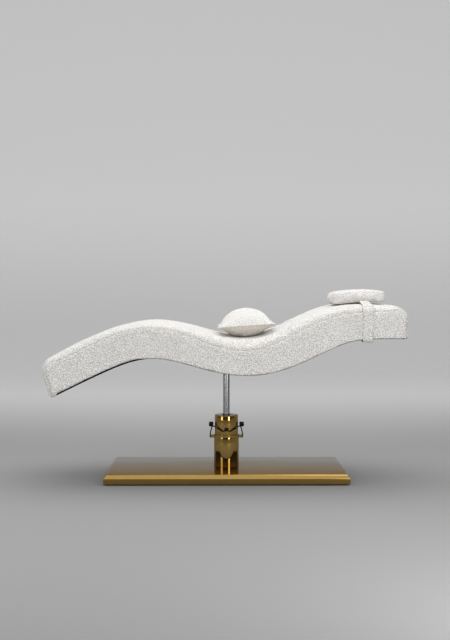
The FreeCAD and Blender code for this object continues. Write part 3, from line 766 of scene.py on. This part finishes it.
def make_side_cover(name, node, sign):
    """A side panel from the seam down to its hem, which folds in towards the board."""
    sheet, nearest, station = SIDE_SHEET
    swell = 0.0026 * (1 - np.exp(-nearest / 0.030))
    swell -= seam_sink(sheet[..., 0]) * bell(nearest, 0, SEAM_REACH)
    swell += 0.0008 * bell(nearest, 0.018, 0.012)
    wall = np.stack([sheet[..., 0], HALF_WIDTH + swell, sheet[..., 1]], -1)
    grid = np.concatenate([hem_fold(sheet[0], wall[0, :, 1], station), wall])
    grid[..., 1] *= sign
    normals = grid_normals(grid)
    if normals[grid.shape[0] // 2, SIDE_COLUMNS // 2, 1] * sign < 0:
        normals = -normals
    reach_in = np.ones(grid.shape[:2])
    reach_in[-SIDE_ROWS:] = np.clip(nearest / RELIEF_FADE, 0, 1)
    waves = 0.0013 * field(grid, 0.12, 5.0) + 0.0009 * field(grid, 0.05, 23.0)
    relief = boucle_relief(grid, 0.0009)
    moved = grid + normals * ((waves + relief) * reach_in)[..., None]
    skin = shell(name, moved, 0.0035, WHITE)
    return fit_of(skin, "lounger", [node])


SIDE_SHEET = side_sheet()
make_top_cover()
make_side_cover("lounger_cover_side_front", "cover_side_front", -1)
make_side_cover("lounger_cover_side_rear", "cover_side_rear", 1)


def crosswise_profile(x):
    """The top cover's outline across the body at one x: y and z from the middle to the seam."""
    grid, places, inward = CROSS_GRID
    middle = grid.shape[1] // 2
    on_top = (places[:, 1] > 0.55) & (inward[:, 1] < -0.3)
    half = grid[on_top][:, middle:]
    order = np.argsort(half[:, 0, 0])
    half = half[order]
    y = []
    z = []
    for j in range(half.shape[1]):
        y.append(np.interp(x, half[:, j, 0], half[:, j, 1]))
        z.append(np.interp(x, half[:, j, 0], half[:, j, 2]))
    return np.array(y), np.array(z)


CROSS_GRID = top_surface(401)


# ---- soft forms
CLOTH_PRESSURE = 3.0
CLOTH_FRAMES = 12
CLOTH_CAP = 0.003


def vertex_array(mesh):
    """The places of a mesh's vertices."""
    values = np.zeros(len(mesh.vertices) * 3)
    mesh.vertices.foreach_get("co", values)
    return values.reshape(-1, 3)


def vertex_normals(mesh):
    """The normals at a mesh's vertices."""
    values = np.zeros(len(mesh.vertices) * 3)
    mesh.vertex_normals.foreach_get("vector", values)
    return values.reshape(-1, 3)


def set_vertices(mesh, points):
    """Moves a mesh's vertices to new places."""
    mesh.vertices.foreach_set("co", points.ravel())
    mesh.update()


def inflate(obj):
    """Blows a closed mesh up as cloth, and holds each point within the cap of its start."""
    start = vertex_array(obj.data)
    scene = bpy.context.scene
    modifier = obj.modifiers.new("cloth", "CLOTH")
    settings = modifier.settings
    settings.quality = 6
    settings.mass = 0.25
    settings.use_pressure = True
    settings.uniform_pressure_force = CLOTH_PRESSURE
    settings.tension_stiffness = 18.0
    settings.compression_stiffness = 18.0
    settings.shear_stiffness = 8.0
    settings.bending_stiffness = 0.4
    settings.effector_weights.gravity = 0.0
    modifier.point_cache.frame_start = 1
    modifier.point_cache.frame_end = CLOTH_FRAMES
    for number in range(1, CLOTH_FRAMES + 1):
        scene.frame_set(number)
    shape = obj.evaluated_get(bpy.context.evaluated_depsgraph_get())
    move = vertex_array(shape.to_mesh()) - start
    shape.to_mesh_clear()
    obj.modifiers.remove(modifier)
    scene.frame_set(1)
    length = np.linalg.norm(move, axis=1, keepdims=True)
    move = move * np.minimum(1.0, CLOTH_CAP / np.maximum(length, 1e-9))
    set_vertices(obj.data, start + move)


def apply_modifiers(obj):
    """Makes what an object's modifiers give into its own mesh, smooth-shaded."""
    shape = obj.evaluated_get(bpy.context.evaluated_depsgraph_get())
    mesh = bpy.data.meshes.new_from_object(shape)
    old = obj.data
    obj.modifiers.clear()
    obj.data = mesh
    bpy.data.meshes.remove(old)
    smooth_shade(mesh)


def subdivide(obj):
    """Applies one level of subdivision."""
    modifier = obj.modifiers.new("smooth", "SUBSURF")
    modifier.levels = 1
    modifier.render_levels = 1
    apply_modifiers(obj)


# ---- scatter pillow
PILLOW_CENTRE = (0.1035, -0.052, 0.8405)
PILLOW_TILT = math.radians(-4.0)
PILLOW_HALF = (0.153, 0.209)
PILLOW_RISE = 0.089
PILLOW_DROP = 0.074
PILLOW_CELLS = (48, 64)
PILLOW_FLANGE = (0.925, 0.935)
PILLOW_GAP = 0.0022


def bunched(share):
    """A place from -1 to 1 across a panel, with the cells closer together towards its edges."""
    return math.sin(math.pi / 2 * share) * 0.6 + 0.4 * share


def pillow_start():
    """The pillow's two panels, already domed, sharing one rim whose corners stand out as ears."""
    nx, ny = PILLOW_CELLS
    index = {}
    vertices = []
    for layer in (1, -1):
        for i in range(nx + 1):
            for j in range(ny + 1):
                edge = i in (0, nx) or j in (0, ny)
                if edge and layer == -1:
                    index[layer, i, j] = index[1, i, j]
                    continue
                u = bunched(2 * i / nx - 1)
                v = bunched(2 * j / ny - 1)
                pull_x = 1 - 0.045 * (1 - v * v)
                pull_y = 1 - 0.060 * (1 - u * u)
                inner_u = min(1.0, abs(u) / PILLOW_FLANGE[0])
                inner_v = min(1.0, abs(v) / PILLOW_FLANGE[1])
                power = 0.58 if layer == 1 else 0.68
                dome = (1 - inner_u ** 2) ** power * (1 - inner_v ** 2.2) ** 0.60
                dome += 0.022 * (1 - max(abs(u), abs(v)) ** 8)
                height = PILLOW_RISE if layer == 1 else PILLOW_DROP
                index[layer, i, j] = len(vertices)
                vertices.append((PILLOW_HALF[0] * u * pull_x, PILLOW_HALF[1] * v * pull_y,
                                 layer * height * dome))
    faces = []
    for layer in (1, -1):
        for i in range(nx):
            for j in range(ny):
                quad = [index[layer, i, j], index[layer, i + 1, j],
                        index[layer, i + 1, j + 1], index[layer, i, j + 1]]
                faces.append(tuple(quad if layer == 1 else quad[::-1]))
    rim = [index[1, i, 0] for i in range(nx)]
    rim += [index[1, nx, j] for j in range(ny)]
    rim += [index[1, i, ny] for i in range(nx, 0, -1)]
    rim += [index[1, 0, j] for j in range(ny, 0, -1)]
    return vertices, faces, rim


def tilt_pillow(points):
    """Puts points of the pillow's own frame where it lies in the dip."""
    c, s = math.cos(PILLOW_TILT), math.sin(PILLOW_TILT)
    turned = points.copy()
    turned[:, 0] = points[:, 0] * c + points[:, 2] * s + PILLOW_CENTRE[0]
    turned[:, 1] = points[:, 1] + PILLOW_CENTRE[1]
    turned[:, 2] = -points[:, 0] * s + points[:, 2] * c + PILLOW_CENTRE[2]
    return turned


def body_height(points):
    """The top cover's height under or over each point, over the stretch where the pillow lies."""
    near_x = np.linspace(-0.08, 0.30, 77)
    profiles = [crosswise_profile(x) for x in near_x]
    step = 0.01
    count = 32
    heights = np.array([[np.interp(k * step, y, z) for y, z in profiles] for k in range(count)])
    result = np.zeros(len(points))
    for k, (x, y) in enumerate(points[:, :2]):
        away = abs(y) / step
        row = int(min(away, count - 2.01))
        result[k] = np.interp(x, near_x, mix(heights[row], heights[row + 1], away - row))
    return result


def make_pillow():
    """The scatter pillow: two panels, a seam welt, and an underside that rests on the body."""
    vertices, faces, rim = pillow_start()
    pillow = new_object("pillow_cover", vertices, faces, PILLOW_WHITE)
    inflate(pillow)
    rim_line = vertex_array(pillow.data)[rim]
    subdivide(pillow)
    points = vertex_array(pillow.data)
    normals = vertex_normals(pillow.data)
    angle = np.arctan2(points[:, 1] / PILLOW_HALF[1], points[:, 0] / PILLOW_HALF[0])
    near_rim = bell(points[:, 2], 0, 0.022)
    gather = 0.0016 * np.cos(angle * 46 + 5 * field(points * (1, 1, 0), 0.09, 8.0)) * near_rim
    on_rim = bell(points[:, 2], 0, 0.003)
    seam = bell(points[:, 0], -0.014, 0.0042) * (points[:, 2] < -0.004)
    relief = boucle_relief(points, 0.0008, 0.010) * (1 - on_rim) + 0.0016 * field(points, 0.045)
    points = points + normals * (relief + gather * (1 - on_rim) - 0.0060 * seam)[:, None]
    # The downward panel takes the cream material, with painted bounce light from the body below.
    pillow.data.materials.append(PILLOW_CREAM_BOUNCE_LIT)
    for face in pillow.data.polygons:
        face.material_index = int(points[face.vertices[0], 2] + points[face.vertices[2], 2] < 0)
    points = tilt_pillow(points)
    points[:, 2] = np.maximum(points[:, 2], body_height(points) + PILLOW_GAP)
    set_vertices(pillow.data, points)
    fit_of(pillow, "pillow", ["pillow_fill", "pillow_cover_bottom", "pillow_cover_top"])
    line = tilt_pillow(rim_line)
    line = resample(np.concatenate([line, line[:1]]), 700)
    line += 0.0007 * np.stack([field(line, 0.008, k) for k in (1.0, 17.0, 29.0)], 1)
    welt = closed_tube("pillow_seam_welt", line[:-1], 0.0034, PILLOW_WHITE, 10)
    fit_of(welt, "pillow", [])


make_pillow()


# ---- face cushion
CUSHION_TOP = spline([(0.552, 1.0035), (0.572, 1.0085), (0.605, 1.0145), (0.650, 1.0190), (0.700, 1.0225),
                      (0.741, 1.0238), (0.795, 1.0225), (0.840, 1.0190), (0.870, 1.0160)])
CUSHION_UNDER = spline([(0.552, 0.9478), (0.600, 0.9513), (0.650, 0.9565), (0.700, 0.9608),
                        (0.790, 0.9638), (0.870, 0.9625)])
CUSHION_X = (0.5680, 0.8560)
CUSHION_HALF_Y = 0.162
CUSHION_CORNER = 0.040
CUSHION_CROWN = 0.0035
CUSHION_VOXEL = 0.0045


def cushion_height(x, share):
    """A height in the cushion, from 0 at its underside to 1 at its top."""
    return mix(float(CUSHION_UNDER(x)), float(CUSHION_TOP(x)), share)


def cushion_start():
    """The boxed cushion before it is filled: rings up its border, closed by rings above and below."""
    middle_x = (CUSHION_X[0] + CUSHION_X[1]) / 2
    half_x = (CUSHION_X[1] - CUSHION_X[0]) / 2
    outline = []
    for corner, turn in (((1, 1), 0), ((-1, 1), 90), ((-1, -1), 180), ((1, -1), 270)):
        for k in range(13):
            angle = math.radians(turn + 90 * k / 12)
            outline.append((corner[0] * (half_x - CUSHION_CORNER) + CUSHION_CORNER * math.cos(angle),
                            corner[1] * (CUSHION_HALF_Y - CUSHION_CORNER) + CUSHION_CORNER * math.sin(angle)))
    outline = resample(np.array(outline + outline[:1]), 241)[:-1]
    rings = [(0.020, 0.0), (0.007, 0.0), (0.002, 0.05), (0.0, 0.14), (0.0, 0.36), (0.0, 0.58),
             (0.0005, 0.78), (0.003, 0.90), (0.008, 0.975), (0.020, 1.0)]
    vertices = []
    size = len(outline)

    def add_ring(inset, factor, share, crown):
        """One ring of vertices: set in from the border, shrunk by a factor, at a share of the height."""
        for x, y in outline:
            px = middle_x + x * (half_x - inset) / half_x * factor
            py = y * (CUSHION_HALF_Y - inset) / CUSHION_HALF_Y * factor
            vertices.append((px, py, cushion_height(px, share) + crown))

    for inset, share in rings:
        add_ring(inset, 1.0, share, 0.0)
    faces = []
    for r in range(len(rings) - 1):
        faces += ring_faces(r * size, (r + 1) * size, size)
    for ring, share, crown in ((0, 0.0, 0.0), (len(rings) - 1, 1.0, CUSHION_CROWN)):
        before = ring * size
        for factor in (0.8, 0.6, 0.4, 0.2):
            start = len(vertices)
            add_ring(rings[ring][0], factor, share, crown * (1 - factor ** 2))
            faces += ring_faces(before, start, size)
            before = start
        faces.append(tuple(before + k for k in range(size)))
    return vertices, faces


def make_face_cushion():
    """The boxed face cushion, with a seam round its top and bottom panels."""
    vertices, faces = cushion_start()
    cushion = new_object("face_cushion_cover", vertices, faces, CUSHION_WHITE)
    remesh = cushion.modifiers.new("remesh", "REMESH")
    remesh.mode = "VOXEL"
    remesh.voxel_size = CUSHION_VOXEL
    apply_modifiers(cushion)
    inflate(cushion)
    points = vertex_array(cushion.data)
    points[:, 2] = np.maximum(points[:, 2], CUSHION_UNDER(points[:, 0]) - 0.0015)
    set_vertices(cushion.data, points)
    subdivide(cushion)
    points = vertex_array(cushion.data)
    normals = vertex_normals(cushion.data)
    low = CUSHION_UNDER(points[:, 0])
    share = (points[:, 2] - low) / (CUSHION_TOP(points[:, 0]) - low)
    side_on = 1 - np.clip(np.abs(normals[:, 2]) * 1.1, 0, 1)
    on_border = np.abs(normals[:, 2]) < 0.9
    upper_seam = bell(share, 0.80, 0.045) * on_border
    lower_seam = bell(share, 0.13, 0.045) * on_border
    relief = boucle_relief(points, 0.0008, 0.0095) + 0.0010 * field(points, 0.04, 2.0)
    points = points + normals * (relief - 0.0018 * (upper_seam + lower_seam) + 0.001 * side_on)[:, None]
    set_vertices(cushion.data, points)
    cushion.data.materials.clear()
    cushion.data.materials.append(CUSHION_WHITE)
    nodes = ["face_cushion_foam", "face_cushion_cover_bottom", "face_cushion_cover_border",
             "face_cushion_cover_top"]
    return fit_of(cushion, "face_cushion", nodes)


make_face_cushion()


# ---- head strap
STRAP_X = (0.7085, 0.7630)
STRAP_THICK = 0.0050


def strap_path(sign):
    """Half the strap's run in front view, from under the cushion to under the body."""
    x = (STRAP_X[0] + STRAP_X[1]) / 2
    across, height = crosswise_profile(x)
    lift = 0.0050
    points = [(0.0, float(np.interp(0.0, across, height)) + lift)]
    for y in np.linspace(0.01, HALF_WIDTH - 0.0005, 120):
        rise = 0.011 * bell(y, 0.174, 0.020) + 0.004 * bell(y, 0.215, 0.03)
        points.append((y, float(np.interp(y, across, height)) + lift + rise))
    points = np.array(points)
    step = directions(points)
    outward = np.stack([-step[:, 1], step[:, 0]], 1)
    outward[outward[:, 1] < 0] *= -1
    shift = smoothstep(0.26, 0.34, points[:, 0])
    points = points + outward * (shift * 0.002)[:, None]
    side_y = HALF_WIDTH + 0.0085
    low = float(underside(x)) - 0.0130
    corner = 0.012
    seam_z = points[-1, 1]
    points = points[points[:, 1] > seam_z + 0.006]
    side = [(side_y, z) for z in np.linspace(seam_z - 0.004, low + 0.016, 40)]
    turn = [(side_y - corner + corner * math.cos(a), low + corner - corner * math.sin(a))
            for a in np.linspace(0.1, math.pi / 2, 10)]
    under = [(y, low + 0.0050 * float(1 - smoothstep(0.28, 0.335, y)))
             for y in np.linspace(side_y - 0.02, 0.0, 40)]
    full = np.concatenate([points, side, turn, under])
    dense = resample(full, 500)
    for _ in range(30):
        dense[1:-1] = (dense[:-2] + 2 * dense[1:-1] + dense[2:]) / 4
    dense[:, 0] *= sign
    return resample(dense, 260)


def make_strap_half(name, node, sign):
    """Half the padded strap, gathered narrower where it comes out from under the cushion."""
    line = strap_path(sign)
    rows = len(line)
    way = directions(line)
    outward = np.stack([-way[:, 1], way[:, 0]], 1) * sign
    middle_x = (STRAP_X[0] + STRAP_X[1]) / 2
    y = np.abs(line[:, 0])
    on_top = smoothstep(0.88, 0.94, line[:, 1])
    gather = on_top * (1 - smoothstep(0.15, 0.30, y)) * smoothstep(0.02, 0.15, y)
    half_width = (STRAP_X[1] - STRAP_X[0]) / 2 * (1 - 0.14 * gather)
    upper = [(t, 0.5 * (1 - abs(t) ** 6) + 0.12) for t in np.linspace(-1, 1, 15)]
    outline = np.array(upper + [(-t, -height) for t, height in upper])
    grid = np.zeros((rows, len(outline), 3))
    for i in range(rows):
        depth = mix(0.0006, 0.0016, smoothstep(0.13, 0.17, y[i]))
        fold = depth * gather[i] * np.cos(outline[:, 0] * 9.0 + 1.0)
        rise = outline[:, 1] * STRAP_THICK + fold
        grid[i, :, 0] = middle_x + outline[:, 0] * half_width[i]
        grid[i, :, 1] = line[i, 0] + outward[i, 0] * rise
        grid[i, :, 2] = line[i, 1] + outward[i, 1] * rise
    grid[..., 0] += 0.0016 * field(grid, 0.07, 41.0)
    offset = boucle_relief(grid, 0.0005, 0.009)
    grid[..., 1] += offset * outward[:, None, 0]
    grid[..., 2] += offset * outward[:, None, 1]
    vertices = grid.reshape(-1, 3)
    size = len(outline)
    faces = []
    for i in range(rows - 1):
        faces += ring_faces(i * size, (i + 1) * size, size)
    faces.append(tuple(range(size)))
    faces.append(tuple(range((rows - 1) * size, rows * size)))
    strap = new_object(name, vertices, faces, WHITE)
    return fit_of(strap, "head_strap", [node])


make_strap_half("strap_front", "head_strap_front", -1)
make_strap_half("strap_rear", "head_strap_rear", 1)


# ---- metal pieces
SLEEVE_WALL = 0.002
SLEEVE_EDGE = 0.0006
LATHE_SEGMENTS = 128
CLADDING_EDGE = 0.0009


def make_sleeves():
    """The column's two polished sleeves, turned smooth with eased edges."""
    for name, node in (("sleeve_lower_skin", "lower_sleeve"), ("sleeve_upper_skin", "upper_sleeve")):
        low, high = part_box(node)
        outer = high.x
        inner = outer - SLEEVE_WALL
        outline = [(inner, low.z), (outer, low.z), (outer, high.z), (inner, high.z)]
        sleeve = lathe(name, rounded_outline(outline, SLEEVE_EDGE), BRASS)
        fit_of(sleeve, "pedestal", [node])


def make_base_cladding():
    """The base plate's cladding, its sharp edges eased so that they catch light."""
    copy = bmesh.new()
    copy.from_mesh(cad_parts["base_cladding"].data)
    bmesh.ops.remove_doubles(copy, verts=copy.verts, dist=0.00001)
    bmesh.ops.dissolve_limit(copy, angle_limit=math.radians(1.0), verts=copy.verts, edges=copy.edges)
    sharp = [edge for edge in copy.edges
             if len(edge.link_faces) == 2 and edge.calc_face_angle() > math.radians(20)]
    bmesh.ops.bevel(copy, geom=sharp, offset=CLADDING_EDGE, segments=2, profile=0.5, affect="EDGES",
                    clamp_overlap=True)
    mesh = bpy.data.meshes.new("base_plate_cladding")
    copy.to_mesh(mesh)
    copy.free()
    mesh.materials.append(BRASS)
    smooth_shade(mesh)
    mesh.set_sharp_from_angle(angle=math.radians(16))
    cladding = link_object("base_plate_cladding", mesh)
    return fit_of(cladding, "pedestal", ["base_cladding"])


def through(points, count):
    """Many points on a smooth curve through a few."""
    points = np.array(points, float)
    run = run_along(points)
    axes = [spline(list(zip(run, points[:, k]))) for k in range(3)]
    stations = np.linspace(0, run[-1], count)
    return np.stack([axis(stations) for axis in axes], 1)


BAIL_EYE = (0.0875, 0.0, 0.221)
BAIL_EYE_RADIUS = 0.0062
BAIL_COIL_Y = -0.004
BAIL_COIL_Z = 0.2880
BAIL_COIL_ENDS = (0.0745, 0.0940)
BAIL_COIL_RADIUS = 0.0092
BAIL_COIL_TURNS = 3.6
BAIL_WIRE_RADIUS = 0.0033
BAIL_ARM_RADIUS = 0.0694


def bail_half():
    """The bail's right half: eye round its pin, leg, sprung coil, arm to the middle."""
    points = []
    for k in range(11):
        angle = math.radians(-100 + 31.5 * k)
        x = BAIL_EYE[0] - 0.002 + 0.0004 * k
        y = BAIL_EYE[1] + BAIL_EYE_RADIUS * math.sin(angle)
        points.append((x, y, BAIL_EYE[2] - BAIL_EYE_RADIUS * math.cos(angle)))
    points += [(0.0885, 0.0060, 0.234), (0.0850, 0.0060, 0.252), (0.0790, 0.0055, 0.272)]
    count = 44
    for k in range(count + 1):
        angle = 2 * math.pi * BAIL_COIL_TURNS * k / count
        x = mix(BAIL_COIL_ENDS[0], BAIL_COIL_ENDS[1], k / count)
        y = BAIL_COIL_Y + BAIL_COIL_RADIUS * math.cos(angle)
        points.append((x, y, BAIL_COIL_Z + BAIL_COIL_RADIUS * math.sin(angle)))
    points += [(0.0915, -0.0190, 0.2800), (0.0825, -0.0270, 0.2790)]
    for k in range(5):
        turn = math.radians(30 + 43 * k / 4)
        reach = mix(0.0735, BAIL_ARM_RADIUS, min(1.0, k / 2))
        z = mix(0.2780, 0.2545, k / 4)
        points.append((reach * math.cos(turn), -reach * math.sin(turn), z))
    points.append((0.0095, -0.0708, 0.2575))
    points.append((0.0, -0.0714, 0.2583))
    return np.array(points)


def make_bail():
    """The spring-wire bail, both halves in one wire."""
    half = bail_half()
    other = half[::-1].copy()
    other[:, 0] *= -1
    line = through(np.concatenate([half, other[1:]]), 900)
    bail = tube("bail_spring_wire", line, BAIL_WIRE_RADIUS, DARK_WIRE, 12)
    fit_of(bail, "bail", ["bail_wire"])


make_sleeves()
make_base_cladding()
make_bail()


# ---- stage, light and camera
FLOOR_FRONT = -12.0
FLOOR_HALF_WIDTH = 16.0
WALL_Y = 9.5
WALL_TOP = 9.0
WALL_BEND = 2.5


def make_stage():
    """A floor that runs back to a distant backdrop, far enough off to walk round the object; its colour is
    painted darker near the object and lighter towards the wall, and the wall glows as painted light.
    """
    profile = [(FLOOR_FRONT, 0.0), (FLOOR_FRONT / 2, 0.0), (0.0, 0.0)]
    for angle in np.linspace(0.0, math.pi / 2, 25):
        profile.append((WALL_Y - WALL_BEND * (1 - math.sin(angle)), WALL_BEND * (1 - math.cos(angle))))
    profile.append((WALL_Y, WALL_TOP))
    vertices = []
    for y, z in profile:
        vertices.append((-FLOOR_HALF_WIDTH, y, z))
        vertices.append((FLOOR_HALF_WIDTH, y, z))
    faces = [(2 * i, 2 * i + 1, 2 * i + 3, 2 * i + 2) for i in range(len(profile) - 1)]
    material, tree, shader = start_material("studio_backdrop")
    split = add_node(tree, "SeparateXYZ", {0: place(tree)}).outputs
    # Painted light falloff: the floor and wall are darker near the object and lighter far off.
    away = add_node(tree, "MapRange", {"From Min": 0.9, "From Max": 5.0, "Value": split["Y"]},
                    interpolation_type="SMOOTHSTEP").outputs["Result"]
    # Painted glow: the wall gives off light that rises with its height, though it is no lamp.
    glow = add_node(tree, "MapRange", {"From Max": WALL_BEND, "To Max": 0.24, "Value": split["Z"]},
                    interpolation_type="SMOOTHSTEP").outputs["Result"]
    wire(tree, shader.inputs, {
        "Base Color": add_ramp(tree, away, [(0.0, (0.285, 0.285, 0.285)), (1.0, (0.62, 0.62, 0.62))]),
        "Emission Strength": glow, "Emission Color": (1.0, 0.995, 0.985, 1.0),
        "Roughness": 0.9, "Specular IOR Level": 0.1})
    mesh = bpy.data.meshes.new("studio_backdrop")
    mesh.from_pydata(vertices, [], faces)
    smooth_shade(mesh)
    mesh.materials.append(material)
    link_object("studio_backdrop", mesh)


def add_area(name, place_at, aim, size, energy):
    """A soft rectangular light that faces a point."""
    light = bpy.data.lights.new(name, "AREA")
    light.shape = "RECTANGLE"
    light.size = size[0]
    light.size_y = size[1]
    light.energy = energy
    obj = link_object(name, light)
    obj.location = place_at
    way = Vector(aim) - Vector(place_at)
    obj.rotation_euler = way.to_track_quat("-Z", "Y").to_euler()


def make_world():
    """A dome that is dark at the horizon, for the brass to reflect, and light overhead."""
    world = bpy.data.worlds.new("studio")
    bpy.context.scene.world = world
    world.use_nodes = True
    tree = world.node_tree
    background = tree.nodes["Background"]
    ways = add_node(tree, "TexCoord", {}).outputs["Generated"]
    rise = add_node(tree, "SeparateXYZ", {0: ways}).outputs["Z"]
    dome = add_ramp(tree, rise, [(0.0, (0.05, 0.05, 0.05)), (0.12, (0.10, 0.10, 0.10)),
                                 (0.45, (0.62, 0.62, 0.63)), (0.85, (0.92, 0.92, 0.92))])
    wire(tree, background.inputs, {"Color": dome, "Strength": 1.15})


def make_camera():
    """A level camera square to the side, from a little above the body."""
    camera = bpy.data.cameras.new("camera")
    camera.lens = 64.69
    camera.sensor_width = 36.0
    camera.clip_end = 60.0
    eye = link_object("camera", camera)
    eye.location = (-0.052, -6.327, 1.070)
    eye.rotation_euler = (math.radians(88.11), 0.0, math.radians(-0.4))
    bpy.context.scene.camera = eye
    bpy.context.scene.view_settings.view_transform = "Standard"


make_stage()
make_world()
add_area("overhead_softbox", (0.1, 0.5, 3.3), (0.0, 0.0, 0.6), (3.6, 2.2), 46.0)
add_area("left_softbox", (-2.5, -2.5, 1.25), (0.0, 0.0, 0.5), (1.1, 2.2), 25.0)
add_area("right_strip", (1.35, -3.0, 1.25), (0.0, 0.0, 0.5), (0.8, 2.2), 36.0)
make_camera()
